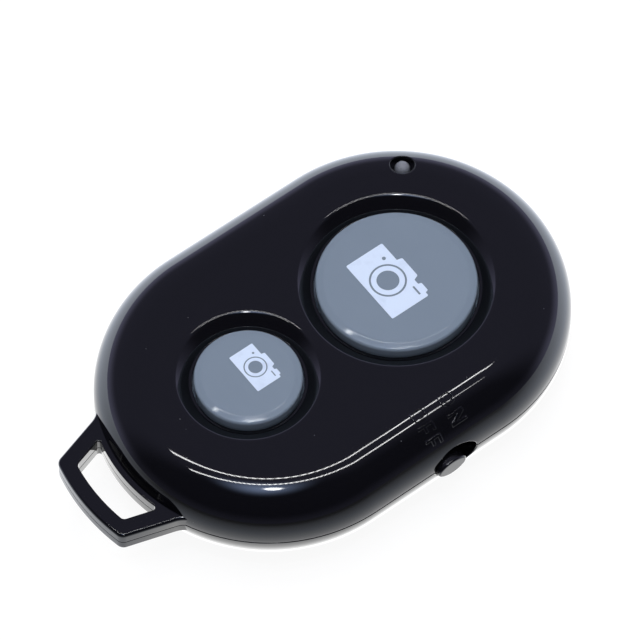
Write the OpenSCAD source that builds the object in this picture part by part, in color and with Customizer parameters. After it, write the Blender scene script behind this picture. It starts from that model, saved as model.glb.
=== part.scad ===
// Camera shutter remote: a pill-shaped handset with two round shutter buttons,
// a power switch in its side, a status light and a lanyard eye.
// Millimetres, +Z up. The origin lies on the resting face, midway between the
// two rounded ends. +Y points to the status light end, -Y to the lanyard eye,
// and +X to the power switch.

/* [Housing] */
// Width of the housing across its straight sides
housing_width = 32; // [28:0.5:36]
// Length of the housing, without the eye
housing_length = 46.5; // [44:0.5:52]
// Height of the housing, from the resting face to the flat top
housing_height = 10.4; // [9.5:0.1:12]
// Height of the parting line between the shells, above the middle of the height
seam_lift = 0.45; // [0.3:0.05:0.6]
// Thickness of the shell walls
wall_thickness = 1.3; // [1.2:0.05:1.4]
// Width of the lower shell's tongue, which locates the upper shell
tongue_width = 0.6; // [0.5:0.05:0.7]
// Height of the tongue above the parting line
tongue_height = 0.8; // [0.6:0.1:1.2]
// Height of the fine groove that shows along the parting line
reveal_height = 0.12; // [0.05:0.01:0.2]
// Depth of that groove
reveal_depth = 0.25; // [0.1:0.05:0.3]

/* [Button wells] */
// Height of the wells' floor above the parting line; the wells take the rest
well_floor_rise = 3.6; // [3.5:0.05:3.7]
// Distance from a button's edge to the foot of its well's sloping wall
well_floor_margin = 1.1; // [0.9:0.1:1.5]
// Distance from a button's edge to the rim of its well
well_rim_margin = 1.75; // [1.5:0.05:2.2]
// Thickness of the wells' floor
well_floor_thickness = 0.95; // [0.9:0.01:1]
// Thickness of the moulding behind the wells' sloping wall
well_backing = 0.75; // [0.6:0.05:0.9]

/* [Buttons] */
// Distance between the edges of the two buttons
button_spacing = 4.45; // [4:0.05:5]
// Space between a button's flange and the screw boss beyond it
button_end_gap = 0.425; // [0.3:0.025:0.6]
// Part of the two buttons' summed diameter that is the large one's
large_button_share = 0.6; // [0.55:0.01:0.65]
// Depth of the buttons' faces below the flat top
button_sink = 0.05; // [0:0.05:0.3]
// Radius of the buttons' rounded edge
button_edge_radius = 0.4; // [0.2:0.05:0.6]
// Thickness of the buttons' face
button_face_thickness = 1; // [0.8:0.1:1.3]
// Thickness of the buttons' side wall
button_skirt = 0.95; // [0.8:0.05:1.2]
// Width of the flange that keeps a button under its well, past the button's edge
flange_margin = 0.75; // [0.6:0.05:0.8]
// Thickness of that flange
flange_thickness = 0.65; // [0.5:0.05:0.7]
// Radius of the post under a button that works its tact switch
button_post_radius = 1.8; // [1.4:0.1:2.2]
// Thickness of the webs under a button's face
button_web = 0.6; // [0.4:0.1:0.8]
// Width of the key that keeps a button from turning
button_key_width = 1; // [0.8:0.1:1.4]
// Distance that a button moves when it is pressed
button_travel = 0.3; // [0.2:0.05:0.3]

/* [Power switch] */
// Length of the slot in the side wall
slot_length = 4.7; // [4.5:0.1:5]
// Height of the slot
slot_height = 3.3; // [3:0.1:3.4]
// Radius of the slot's ends
slot_end_radius = 1.3; // [1:0.1:1.4]
// Distance of the slot's middle from the middle of the housing, towards the light
slot_offset = 1.75; // [1.5:0.05:2]
// Length of the knob's oval face
knob_length = 3.1; // [2.9:0.05:3.2]
// Height of the knob's oval face
knob_height = 2.1; // [1.9:0.05:2.2]
// Radius of the ends of the knob's face
knob_end_radius = 0.75; // [0.5:0.05:0.8]
// Distance that the knob stands out of the side wall
knob_proud = 0.5; // [0.3:0.05:1]
// Length of the plate behind the slot, which the knob grows from
knob_plate_length = 6.6; // [6.5:0.1:7]
// Height of that plate
knob_plate_height = 3.9; // [3.7:0.1:4]
// Thickness of that plate
knob_plate_thickness = 0.6; // [0.4:0.05:0.7]
// Length of the slide switch on the board
slide_switch_length = 6.7; // [6.5:0.1:7]
// Depth of the slide switch, across the board
slide_switch_depth = 2.7; // [2.6:0.1:3]
// Height of the slide switch
slide_switch_height = 1.4; // [1.3:0.05:1.5]
// Width of the slide switch's lever
lever_width = 1.3; // [1.1:0.1:1.5]
// Thickness of the lever
lever_thickness = 0.7; // [0.6:0.05:0.8]
// Length of the lever's inner block
lever_block_length = 2.4; // [2:0.1:2.8]
// Wall thickness of the slide switch's frame
switch_wall = 0.25; // [0.2:0.05:0.3]
// Height of the slide switch's inner moulding
slide_base_height = 0.3; // [0.2:0.05:0.3]

/* [Status light] */
// Direction of the light from the centre of its rounded end, in degrees
light_angle = 140.5; // [135:0.5:145]
// Distance of the light from the side of the housing
light_margin = 3.45; // [3.2:0.05:3.6]
// Radius of the hole over the light
light_hole_radius = 1.05; // [0.95:0.05:1.15]
// Radius of the flared lip of that hole
light_lip_radius = 1.35; // [1.2:0.05:1.45]
// Radius of the clear light guide
light_guide_radius = 0.72; // [0.6:0.02:0.8]
// Depth of the light guide's domed tip below the flat top
light_guide_sink = 0.4; // [0.3:0.05:0.6]
// Length of the status lamp on the board
lamp_length = 1.6; // [1.4:0.1:2]
// Width of the lamp
lamp_width = 1.2; // [1:0.1:1.4]
// Height of the lamp
lamp_height = 0.6; // [0.5:0.05:0.7]

/* [Lanyard eye] */
// Distance from the end of the housing to the outer edge of the eye
eye_reach = 4.7; // [4.2:0.1:6]
// Width of the eye's outer bar
eye_bar_width = 1.5; // [1.3:0.1:1.8]
// Width of the eye's two side bars
eye_side_width = 1.7; // [1.5:0.1:2]
// Thickness of the eye
eye_thickness = 2.3; // [2:0.1:2.6]
// Lean of the side bars, in degrees
eye_lean = 17.2; // [14:0.2:20]
// Direction of the eye's outer corners from the middle line, in degrees
eye_corner_angle = 12.3; // [11:0.1:14]
// Width of the ledge between the housing and the opening of the eye
eye_ledge = 0.35; // [0.25:0.05:0.6]
// Radius of the hollow where a side bar joins the housing
eye_root_radius = 2.2; // [1.5:0.1:2.5]
// Depth by which those hollows run into the curved side of the housing
eye_root_bite = 0.2; // [0.17:0.01:0.22]

/* [Battery] */
// Space between the coin cell and the side of the housing
cell_side_space = 6; // [5.8:0.1:6.5]
// Radius of the can's rounded lower edge
cell_edge_radius = 0.5; // [0.3:0.05:0.6]
// Distance from the edge of the cell's negative cap to the side of the cell
cell_cap_margin = 1.2; // [1:0.1:1.5]
// Width of the gasket between the cap and the can
gasket_width = 0.5; // [0.4:0.05:0.6]
// Depth of the groove that the gasket sits in
gasket_depth = 0.6; // [0.4:0.1:0.8]
// Height of the cap above the can's rim
cell_cap_rise = 0.2; // [0.1:0.05:0.25]
// Distance between the cell and the wall round it
cell_play = 0.35; // [0.3:0.05:0.5]
// Thickness of the wall round the cell
cell_wall = 0.8; // [0.7:0.05:0.9]

/* [Battery door] */
// Thickness of the battery door
door_thickness = 1; // [0.9:0.05:1.1]
// Width of the ledge that the door's edge rests on
door_ledge = 0.9; // [0.8:0.05:1]
// Height of the rim on the door that plugs into the opening
door_plug_height = 0.45; // [0.3:0.05:0.5]
// Thickness of that rim
door_plug_wall = 0.8; // [0.6:0.1:1]
// Radius of the nail notch at the door's edge
notch_radius = 2.2; // [1.8:0.1:2.6]
// Distance of the notch's centre below the resting face
notch_drop = 1.5; // [1.3:0.1:1.8]
// Length of the notch
notch_length = 5; // [4:0.5:7]

/* [Circuit board] */
// Height of the board's top above the parting line
board_rise = 0.25; // [0.2:0.01:0.3]
// Distance between the board's edge and the side of the housing
board_margin = 2.1; // [2:0.05:2.3]
// Thickness of the board
board_thickness = 0.8; // [0.7:0.05:0.85]
// Space between the cell and the board
contact_space = 0.35; // [0.3:0.05:0.4]
// Thickness of the battery contacts' sheet metal
contact_sheet = 0.15; // [0.1:0.01:0.2]
// Width of the tact switches
tact_width = 5.2; // [4.8:0.1:5.4]
// Height of the tact switches' base
tact_base_height = 1; // [0.95:0.01:1]
// Thickness of the tact switches' cover plate
tact_cover_thickness = 0.15; // [0.1:0.01:0.2]
// Height of the tact switches, up to the tip of the plunger
tact_height = 1.5; // [1.45:0.05:1.55]
// Length of the tact switches' legs
tact_leg_length = 0.6; // [0.5:0.1:0.8]
// Width of those legs
tact_leg_width = 0.9; // [0.7:0.1:1.1]
// Height of those legs
tact_leg_height = 0.15; // [0.1:0.05:0.25]
// Distance between the two legs on one side of a tact switch
tact_leg_spacing = 3.5; // [3:0.1:4]
// Radius of the tact switches' plunger
tact_plunger_radius = 1; // [0.8:0.05:1.1]
// Width of both battery contacts
contact_width = 4; // [3:0.5:5]
// Length of the negative contact's leaf
contact_leaf_length = 12; // [10:0.5:13]
// Radius of the tip of its pressed dimple
dimple_tip_radius = 0.8; // [0.6:0.1:1]
// Radius of the dimple's root
dimple_root_radius = 1.35; // [1.2:0.05:1.5]
// Length of the positive contact's pad under the board
contact_pad_length = 2.65; // [2.5:0.05:3]
// Width of the collar that keeps a tact plunger under its cover
tact_collar_width = 0.5; // [0.4:0.05:0.6]
// Height of that collar
tact_collar_height = 0.45; // [0.3:0.05:0.45]

/* [Board parts] */
// Edge length of the radio chip
radio_chip_size = 5; // [4:0.5:5]
// Height of the radio chip
radio_chip_height = 0.85; // [0.7:0.05:1]
// Distance of the radio chip from the board's long middle line
radio_chip_across = 7.4; // [7:0.1:8]
// Distance of the radio chip from the board's cross line, towards the eye
radio_chip_along = 1.2; // [0.8:0.1:1.6]
// Length of the memory chip's body
memory_chip_length = 2.9; // [2.7:0.1:3.1]
// Width of its body
memory_chip_width = 1.7; // [1.5:0.1:1.9]
// Height of its body
memory_chip_height = 1; // [0.8:0.1:1.2]
// Width of the memory chip over its legs
memory_leg_span = 2.8; // [2.6:0.1:3]
// Width of one of those legs
memory_leg_width = 0.4; // [0.3:0.05:0.5]
// Height of the legs
memory_leg_height = 0.25; // [0.15:0.05:0.3]
// Distance between neighbouring legs
memory_leg_pitch = 0.95; // [0.9:0.05:1]
// Distance of the memory chip from the board's long middle line
memory_chip_across = 6.2; // [6:0.1:6.6]
// Distance of the memory chip from the board's cross line, towards the eye
memory_chip_along = 4.4; // [4:0.1:4.8]
// Length of the crystal
crystal_length = 3.2; // [3:0.1:3.5]
// Width of the crystal
crystal_width = 2.5; // [2:0.1:2.8]
// Height of the crystal
crystal_height = 0.75; // [0.6:0.05:0.9]
// Distance of the crystal from the board's long middle line
crystal_across = 7.4; // [7:0.1:8]
// Distance of the crystal from the board's cross line, towards the eye
crystal_along = 6; // [5.7:0.1:6.4]
// Length of one resistor or capacitor
small_part_length = 1.6; // [1.2:0.1:1.8]
// Width of one resistor or capacitor
small_part_width = 0.8; // [0.6:0.1:1]
// Height of one resistor or capacitor
small_part_height = 0.5; // [0.4:0.05:0.6]
// Distance between neighbours in a row of them
small_part_pitch = 1.5; // [1.3:0.1:1.8]
// Distance of the two inner rows from the board's long middle line
small_row_across = 2.7; // [2.5:0.1:3]
// Distance of their first parts from the board's cross line, towards the eye
small_row_along = 2.6; // [2.2:0.1:3]
// Distance of the outer row from the board's edge
outer_row_margin = 2.7; // [2.5:0.1:3]
// Distance of its first part from the board's cross line, towards the light
outer_row_along = 6; // [5.5:0.1:6.5]
// Width of the antenna's trace
antenna_trace_width = 0.45; // [0.4:0.05:0.5]
// Thickness of that trace
antenna_trace_thickness = 0.05; // [0.04:0.01:0.08]
// Length of the antenna's straight runs
antenna_run_length = 4.2; // [3.8:0.1:4.4]
// Distance between neighbouring runs
antenna_pitch = 0.95; // [0.9:0.05:1]
// Distance from the antenna's inner side to the board's edge
antenna_margin = 6.7; // [6.4:0.1:6.9]
// Distance of the antenna's first run from the screw beside it
antenna_screw_gap = 2.5; // [2.3:0.1:3]

/* [Screws] */
// Distance of the two case screws from the ends of the housing
screw_end_margin = 5.35; // [5.1:0.05:5.4]
// Radius of the screws' shank
screw_radius = 0.95; // [0.85:0.05:1]
// Radius of the screws' head
screw_head_radius = 1.55; // [1.4:0.05:1.6]
// Height of the screws' head
screw_head_height = 1; // [0.9:0.05:1.1]
// Depth of the screws' head below the resting face
screw_sink = 0.45; // [0.4:0.05:0.5]
// Depth of the screws' tips below the flat top
screw_tip_depth = 2.75; // [2.65:0.05:3.2]
// Radius of the upper shell's screw bosses
boss_radius = 2.2; // [2:0.05:2.2]
// Radius of the bosses' lower end, which passes through the board
boss_tip_radius = 1.6; // [1.5:0.05:1.65]

/* [Fits] */
// Gap between parts that slide in each other
sliding_play = 0.15; // [0.1:0.01:0.18]
// Gap between parts that only lie beside each other
seat_play = 0.05; // [0.02:0.01:0.08]
// Gap between a flange or collar and what stops it
stop_play = 0.1; // [0.05:0.01:0.12]
// Gap between the board and the knob's plate at the ends of its travel
board_notch_play = 0.6; // [0.4:0.1:0.8]

/* [Hidden] */
$fn = 72;

// Extra length by which a cutter passes the face that it opens
through = 1;
// Depth by which a feature is rooted in the wall that carries it
rooting = 0.2;

// Housing heights and half widths
half_width = housing_width / 2;
end_spacing = housing_length - housing_width;
end_offset = end_spacing / 2;
seam_height = housing_height / 2 + seam_lift;
top_rise = housing_height - seam_height;
inner_half_width = half_width - wall_thickness;
ceiling_height = housing_height - wall_thickness;
well_floor = seam_height + well_floor_rise;
well_depth = housing_height - well_floor;
well_underside = well_floor - well_floor_thickness;

// Heights of the board and its switches, which go with the parting line
board_top = seam_height + board_rise;
board_underside = board_top - board_thickness;
tact_top = board_top + tact_height;
board_half_width = half_width - board_margin;

// The coin cell fills the height that is left above the door, here 3.2
door_plug_top = door_thickness + door_plug_height;
cell_floor = door_plug_top + stop_play;
cell_top = board_underside - contact_space;
cell_height = cell_top - cell_floor;
cell_diameter = housing_width - 2 * cell_side_space;
cell_cap_diameter = cell_diameter - 2 * cell_cap_margin;
well_bore_radius = cell_diameter / 2 + cell_play;
door_radius = well_bore_radius + door_ledge;

// The screws, and the two buttons, which share the length between their bosses
screw_offset = housing_length / 2 - screw_end_margin;
screw_seat = screw_sink + screw_head_height;
screw_tip = housing_height - screw_tip_depth;
buttons_end = screw_offset - boss_radius - button_end_gap - flange_margin;
buttons_diameter = 2 * buttons_end - button_spacing;
large_button_diameter = large_button_share * buttons_diameter;
small_button_diameter = buttons_diameter - large_button_diameter;
large_button_offset = buttons_end - large_button_diameter / 2;
small_button_offset = buttons_end - small_button_diameter / 2;

// Button heights, hung down from the wells
button_top = housing_height - button_sink;
flange_top = well_underside - stop_play;
flange_bottom = flange_top - flange_thickness;

// Places of the power switch
knob_travel = slot_length - knob_length - 2 * seat_play;
knob_rest = slot_offset - knob_travel / 2;
knob_face = half_width + knob_proud;
// The plate stays clear of the curved wall at its upper and lower edges
knob_plate_face = inner_half_width - wall_bulge(top_rise - wall_thickness, knob_plate_height / 2)
    - sliding_play;
knob_plate_back = knob_plate_face - knob_plate_thickness;
slide_switch_front = knob_plate_back - 2 * sliding_play;
slide_switch_back = slide_switch_front - slide_switch_depth;
lever_height = board_top + slide_switch_height / 2;

// Place of the status light
light_distance = half_width - light_margin;
light_x = light_distance * cos(light_angle);
light_y = end_offset + light_distance * sin(light_angle);

// Height lost by an arc of a given radius at a given distance from its crown
function wall_bulge(radius, rise) = radius - sqrt(radius ^ 2 - rise ^ 2);

// Half profile of a pod, from its middle line out to a quarter arc
module pod_profile(reach, rise) {
    square([reach - rise, rise]);
    intersection() {
        translate([reach - rise, 0]) circle(r = rise);
        translate([reach - rise, 0]) square([rise, rise]);
    }
}

// Sweeps a half profile round both ends of the pod and along its sides
module around_pod() {
    translate([0, end_offset, 0])
        rotate_extrude(angle = 180) children();
    translate([0, -end_offset, 0])
        rotate([0, 0, 180])
            rotate_extrude(angle = 180) children();
    for (side = [0, 1])
        mirror([side, 0, 0])
            translate([0, end_offset, 0])
                rotate([90, 0, 0])
                    linear_extrude(height = end_spacing) children();
}

// Outline of an oval with round ends and gently curved long sides
module oval(length, height, end_radius) {
    end_x = length / 2 - end_radius;
    half_height = height / 2;
    side_radius = (end_x ^ 2 + half_height ^ 2 - end_radius ^ 2) / (2 * (half_height - end_radius));
    meet_x = end_x + end_radius * end_x / (side_radius - end_radius);
    for (side = [-1, 1])
        translate([side * end_x, 0]) circle(r = end_radius);
    intersection() {
        translate([0, half_height - side_radius]) circle(r = side_radius);
        translate([0, side_radius - half_height]) circle(r = side_radius);
        square([2 * meet_x, height], center = true);
    }
}

// Half profile of a disc whose upper outer edge is rounded
module rounded_disc_profile(radius, height, edge) {
    square([radius, height - edge]);
    square([radius - edge, height]);
    translate([radius - edge, height - edge]) circle(r = edge);
}

// A box centred on its own X and Y, standing on Z = 0
module standing_box(size) {
    translate([-size.x / 2, -size.y / 2, 0]) cube(size);
}

// Moves its children to each case screw
module at_screws() {
    for (end = [-1, 1])
        translate([0, end * screw_offset, 0]) children();
}

// Moves its children to the power slot, with their X along the slot
module at_slot(distance_out, along) {
    translate([distance_out, along, seam_height])
        rotate([90, 0, 90]) children();
}

// Lanyard eye in plan, seen from the centre of its rounded end with +Y outwards
module eye_outline() {
    outer_radius = half_width + eye_reach;
    half_side = eye_side_width / 2;
    corner_distance = outer_radius - half_side;
    corner = corner_distance * [sin(eye_corner_angle), cos(eye_corner_angle)];
    inward = [sin(eye_lean), -cos(eye_lean)];
    outward = [cos(eye_lean), sin(eye_lean)];
    // Centre of the root hollow, which touches the side bar and runs into the housing
    start = corner + outward * (half_side + eye_root_radius);
    along = start * inward;
    hollow_distance = half_width + eye_root_radius - eye_root_bite;
    run = -along - sqrt(along ^ 2 - start * start + hollow_distance ^ 2);
    hollow = start + run * inward;
    touch = hollow - outward * eye_root_radius;
    root_angle = atan2(touch.x, touch.y);
    difference() {
        union() {
            intersection() {
                difference() {
                    circle(r = outer_radius);
                    circle(r = outer_radius - eye_bar_width);
                }
                wedge(eye_corner_angle, outer_radius);
            }
            intersection() {
                circle(r = half_width + eye_ledge);
                wedge(root_angle, half_width);
            }
            for (side = [0, 1])
                mirror([side, 0]) {
                    translate(corner) circle(r = half_side);
                    translate(corner)
                        rotate(eye_lean)
                            translate([-half_side, -run])
                                square([eye_side_width, run]);
                    difference() {
                        polygon([[0, 0], touch, hollow]);
                        translate(hollow) circle(r = eye_root_radius);
                    }
                }
        }
        circle(r = half_width - reveal_depth - seat_play);
    }
}

// Triangle that opens equally to both sides of +Y
module wedge(half_angle, radius) {
    length = 2 * radius;
    tip = length * [sin(half_angle), cos(half_angle)];
    polygon([[0, 0], tip, [-tip.x, tip.y]]);
}

// One shell's half of the eye, between two heights
module eye_half(from_height, to_height) {
    translate([0, -end_offset, from_height])
        rotate([0, 0, 180])
            linear_extrude(height = to_height - from_height) eye_outline();
}

// Cutter of the power slot, which both shells share
module slot_cutter() {
    at_slot(knob_plate_face, slot_offset)
        linear_extrude(height = half_width - knob_plate_face + through)
            oval(slot_length, slot_height, slot_end_radius);
}

// Nail notch at the eye side of the battery door
module nail_notch() {
    translate([-notch_length / 2, -door_radius, -notch_drop])
        rotate([0, 90, 0])
            cylinder(r = notch_radius, h = notch_length);
}

// Moulding behind one well, inside the upper shell
module well_backing_ring(diameter, offset) {
    translate([0, offset, well_underside])
        cylinder(r = diameter / 2 + well_rim_margin + well_backing,
                 h = ceiling_height + rooting - well_underside);
}

// Cutters of one well: its sloping wall and the hole for the button
module well_cutter(diameter, offset) {
    radius = diameter / 2;
    // The slope runs on above the top, so that the rim is cut cleanly
    slope = (well_rim_margin - well_floor_margin) / well_depth;
    translate([0, offset, well_floor])
        cylinder(r1 = radius + well_floor_margin,
                 r2 = radius + well_rim_margin + slope * through,
                 h = well_depth + through);
    translate([0, offset, well_underside - through])
        cylinder(r = radius + sliding_play, h = well_floor_thickness + 2 * through);
}

// Key under one well; it faces the other button
module well_key(diameter, offset) {
    key_start = diameter / 2 + 2 * sliding_play;
    key_end = diameter / 2 + flange_margin + 2 * stop_play;
    inward = offset > 0 ? -1 : 1;
    translate([0, offset + inward * (key_start + key_end) / 2, flange_bottom])
        standing_box([button_key_width, key_end - key_start, well_underside + rooting - flange_bottom]);
}

module top_shell() {
    tip_bottom = board_underside + seat_play;
    tube_radius = light_guide_radius + sliding_play;
    tube_bottom = flange_bottom;
    hole_floor = ceiling_height;
    color("#17181d")
    difference() {
        union() {
            around_pod()
                translate([0, seam_height]) difference() {
                    pod_profile(half_width, top_rise);
                    pod_profile(inner_half_width, top_rise - wall_thickness);
                    square([inner_half_width + tongue_width + seat_play, tongue_height + seat_play]);
                    translate([half_width - reveal_depth, 0])
                        square([reveal_depth, reveal_height]);
                }
            well_backing_ring(large_button_diameter, large_button_offset);
            well_backing_ring(small_button_diameter, -small_button_offset);
            well_key(large_button_diameter, large_button_offset);
            well_key(small_button_diameter, -small_button_offset);
            at_screws() {
                translate([0, 0, board_top + seat_play])
                    cylinder(r = boss_radius, h = ceiling_height + rooting - board_top - seat_play);
                translate([0, 0, tip_bottom])
                    cylinder(r = boss_tip_radius, h = board_top + rooting - tip_bottom);
            }
            // Tube that holds the light guide
            translate([light_x, light_y, tube_bottom])
                cylinder(r = tube_radius + well_backing, h = ceiling_height - tube_bottom);
            eye_half(seam_height, seam_height + eye_thickness / 2);
        }
        well_cutter(large_button_diameter, large_button_offset);
        well_cutter(small_button_diameter, -small_button_offset);
        at_screws()
            translate([0, 0, tip_bottom - through])
                cylinder(r = screw_radius + seat_play,
                         h = screw_tip + rooting - tip_bottom + through);
        translate([light_x, light_y, 0]) {
            translate([0, 0, tube_bottom - through])
                cylinder(r = tube_radius, h = hole_floor + through - tube_bottom);
            translate([0, 0, hole_floor])
                cylinder(r = light_hole_radius, h = wall_thickness + through);
            translate([0, 0, housing_height - wall_thickness / 2])
                cylinder(r1 = light_hole_radius, r2 = light_lip_radius, h = wall_thickness);
        }
        slot_cutter();
    }
}

module bottom_shell() {
    floor_lip = door_thickness + seat_play;
    color("#17181d")
    difference() {
        union() {
            around_pod()
                translate([0, seam_height]) {
                    difference() {
                        mirror([0, 1]) pod_profile(half_width, seam_height);
                        mirror([0, 1]) pod_profile(inner_half_width, seam_height - wall_thickness);
                    }
                    // Tongue that locates the upper shell
                    translate([inner_half_width, -rooting])
                        square([tongue_width, tongue_height + rooting]);
                }
            // Wall round the cell, which also carries the board
            translate([0, 0, door_thickness])
                cylinder(r = well_bore_radius + cell_wall, h = board_underside - door_thickness);
            // Pillars for the case screws
            at_screws()
                translate([0, 0, screw_seat - rooting])
                    cylinder(r = boss_radius + rooting, h = board_underside - screw_seat + rooting);
            eye_half(seam_height - eye_thickness / 2, seam_height);
        }
        // Opening for the door, its ledge and the cell
        translate([0, 0, -through])
            cylinder(r = door_radius, h = floor_lip + through);
        translate([0, 0, -through])
            cylinder(r = well_bore_radius, h = board_underside + 2 * through);
        // Gap in the cell's wall for the positive contact
        translate([-well_bore_radius - cell_wall / 2, 0, cell_floor])
            standing_box([cell_wall + 2 * cell_play, contact_width + 2 * stop_play, board_underside]);
        at_screws() {
            translate([0, 0, -through])
                cylinder(r = screw_head_radius + sliding_play, h = screw_seat + through);
            cylinder(r = screw_radius + sliding_play, h = board_underside + through);
        }
        nail_notch();
        slot_cutter();
    }
}

module battery_door() {
    color("#17181d")
    difference() {
        union() {
            intersection() {
                around_pod()
                    translate([0, seam_height])
                        mirror([0, 1]) pod_profile(half_width, seam_height);
                cylinder(r = door_radius - sliding_play, h = door_thickness);
            }
            translate([0, 0, door_thickness])
                difference() {
                    cylinder(r = well_bore_radius - sliding_play, h = door_plug_height);
                    cylinder(r = well_bore_radius - sliding_play - door_plug_wall,
                             h = door_plug_height + through);
                }
        }
        nail_notch();
    }
}

module case_screws() {
    color("#9a9ca0")
    at_screws()
        translate([0, 0, screw_sink]) {
            cylinder(r = screw_head_radius, h = screw_head_height);
            cylinder(r = screw_radius, h = screw_tip - screw_sink);
        }
}

// A shutter button: cored face, flange, post and webs, with a notch for its key
module shutter_button(diameter, offset) {
    radius = diameter / 2;
    core_radius = radius - button_skirt;
    core_top = button_top - button_face_thickness;
    flange_radius = radius + flange_margin;
    inward = offset > 0 ? -1 : 1;
    color("#74818f")
    translate([0, offset, 0]) {
        difference() {
            rotate_extrude() {
                translate([0, flange_bottom])
                    rounded_disc_profile(radius, button_top - flange_bottom, button_edge_radius);
                translate([0, flange_bottom]) square([flange_radius, flange_thickness]);
            }
            translate([0, 0, flange_bottom - through])
                cylinder(r = core_radius, h = core_top - flange_bottom + through);
            translate([0, inward * (radius + flange_margin), flange_bottom - through])
                standing_box([button_key_width + 2 * sliding_play, 2 * (flange_margin - stop_play),
                              flange_thickness + through + stop_play]);
        }
        translate([0, 0, tact_top])
            cylinder(r = button_post_radius, h = core_top + rooting - tact_top);
        for (turn = [0, 90])
            rotate([0, 0, turn])
                translate([0, 0, flange_top])
                    standing_box([2 * core_radius + rooting, button_web, core_top + rooting - flange_top]);
    }
}

module large_button() {
    shutter_button(large_button_diameter, large_button_offset);
}

module small_button() {
    shutter_button(small_button_diameter, -small_button_offset);
}

module power_knob() {
    color("#1b1c20")
    difference() {
        union() {
            at_slot(knob_plate_back, knob_rest)
                linear_extrude(height = knob_face - knob_plate_back)
                    oval(knob_length, knob_height, knob_end_radius);
            at_slot(knob_plate_back, knob_rest)
                linear_extrude(height = knob_plate_thickness)
                    square([knob_plate_length, knob_plate_height], center = true);
        }
        // Window in the plate that takes the lever
        translate([knob_plate_back, knob_rest, lever_height - lever_thickness / 2 - stop_play])
            standing_box([2 * knob_plate_thickness, lever_width + 2 * stop_play,
                          lever_thickness + 2 * stop_play]);
    }
}

module light_guide() {
    collar_bottom = board_top + lamp_height + seat_play;
    collar_top = flange_bottom - seat_play;
    dome_centre = housing_height - light_guide_sink - light_guide_radius;
    color("#c9ccd2")
    translate([light_x, light_y, 0]) {
        translate([0, 0, collar_bottom])
            cylinder(r = light_hole_radius + sliding_play, h = collar_top - collar_bottom);
        translate([0, 0, collar_bottom])
            cylinder(r = light_guide_radius, h = dome_centre - collar_bottom);
        translate([0, 0, dome_centre]) sphere(r = light_guide_radius);
    }
}

module circuit_board() {
    notch_margin = knob_travel / 2 + board_notch_play;
    color("#1f5a3a")
    difference() {
        translate([0, 0, board_underside])
            around_pod() square([board_half_width, board_thickness]);
        at_screws()
            translate([0, 0, board_underside - through])
                cylinder(r = boss_tip_radius + sliding_play, h = board_thickness + 2 * through);
        // Notch that lets the knob's plate pass
        translate([slide_switch_front + sliding_play,
                   slot_offset - knob_plate_length / 2 - notch_margin, board_underside - through])
            cube([board_half_width, knob_plate_length + 2 * notch_margin, board_thickness + 2 * through]);
    }
}

module cell_can() {
    color("#c6c8cb")
    translate([0, 0, cell_floor])
        difference() {
            translate([0, 0, cell_height - cell_cap_rise])
                mirror([0, 0, 1])
                    rotate_extrude()
                        rounded_disc_profile(cell_diameter / 2, cell_height - cell_cap_rise, cell_edge_radius);
            translate([0, 0, cell_height - cell_cap_rise - gasket_depth])
                cylinder(d = cell_cap_diameter + 2 * gasket_width, h = gasket_depth + through);
        }
}

module cell_cap() {
    color("#b3b5b8")
    translate([0, 0, cell_top - cell_cap_rise - gasket_depth])
        rotate_extrude()
            rounded_disc_profile(cell_cap_diameter / 2, gasket_depth + cell_cap_rise, cell_cap_rise / 2);
}

module cell_gasket() {
    color("#2c2d30")
    translate([0, 0, cell_top - cell_cap_rise - gasket_depth])
        difference() {
            cylinder(d = cell_cap_diameter + 2 * gasket_width, h = gasket_depth + cell_cap_rise / 2);
            translate([0, 0, -through])
                cylinder(d = cell_cap_diameter, h = gasket_depth + 2 * through);
        }
}

module negative_contact() {
    color("#d7c483")
    {
        translate([0, 0, board_underside - contact_sheet])
            standing_box([contact_width, contact_leaf_length, contact_sheet]);
        // Pressed dimple that touches the cell's cap
        translate([0, 0, cell_top])
            cylinder(r1 = dimple_tip_radius, r2 = dimple_root_radius, h = contact_space - contact_sheet);
    }
}

module positive_contact() {
    leg_length = cell_height / 2;
    color("#d7c483")
    translate([-cell_diameter / 2, 0, 0]) {
        translate([-contact_pad_length, -contact_width / 2, board_underside - contact_sheet])
            cube([contact_pad_length, contact_width, contact_sheet]);
        // Spring leg that touches the side of the can
        translate([-contact_sheet, -contact_width / 2, board_underside - leg_length])
            cube([contact_sheet, contact_width, leg_length]);
    }
}

// Base of one tact switch, with the pocket for its plunger and four legs
module tact_base(offset) {
    color("#202125")
    translate([0, offset, board_top])
        difference() {
            union() {
                standing_box([tact_width, tact_width, tact_base_height]);
                for (side = [-1, 1], end = [-1, 1])
                    translate([side * (tact_width + tact_leg_length) / 2, end * tact_leg_spacing / 2, 0])
                        standing_box([tact_leg_length + 2 * seat_play, tact_leg_width, tact_leg_height]);
            }
            translate([0, 0, tact_base_height - tact_collar_height - button_travel - stop_play])
                cylinder(r = tact_plunger_radius + tact_collar_width + sliding_play, h = tact_height);
        }
}

// Cover plate of one tact switch
module tact_cover(offset) {
    color("#bfc1c4")
    translate([0, offset, board_top + tact_base_height])
        difference() {
            standing_box([tact_width, tact_width, tact_cover_thickness]);
            translate([0, 0, -through])
                cylinder(r = tact_plunger_radius + sliding_play, h = tact_cover_thickness + 2 * through);
        }
}

// Plunger of one tact switch
module tact_plunger(offset) {
    collar_top = board_top + tact_base_height - seat_play / 2;
    color("#d8d9db")
    translate([0, offset, collar_top - tact_collar_height]) {
        cylinder(r = tact_plunger_radius + tact_collar_width, h = tact_collar_height);
        cylinder(r = tact_plunger_radius, h = tact_top - collar_top + tact_collar_height);
    }
}

module large_tact_base() {
    tact_base(large_button_offset);
}

module large_tact_cover() {
    tact_cover(large_button_offset);
}

module large_tact_plunger() {
    tact_plunger(large_button_offset);
}

module small_tact_base() {
    tact_base(-small_button_offset);
}

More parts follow.
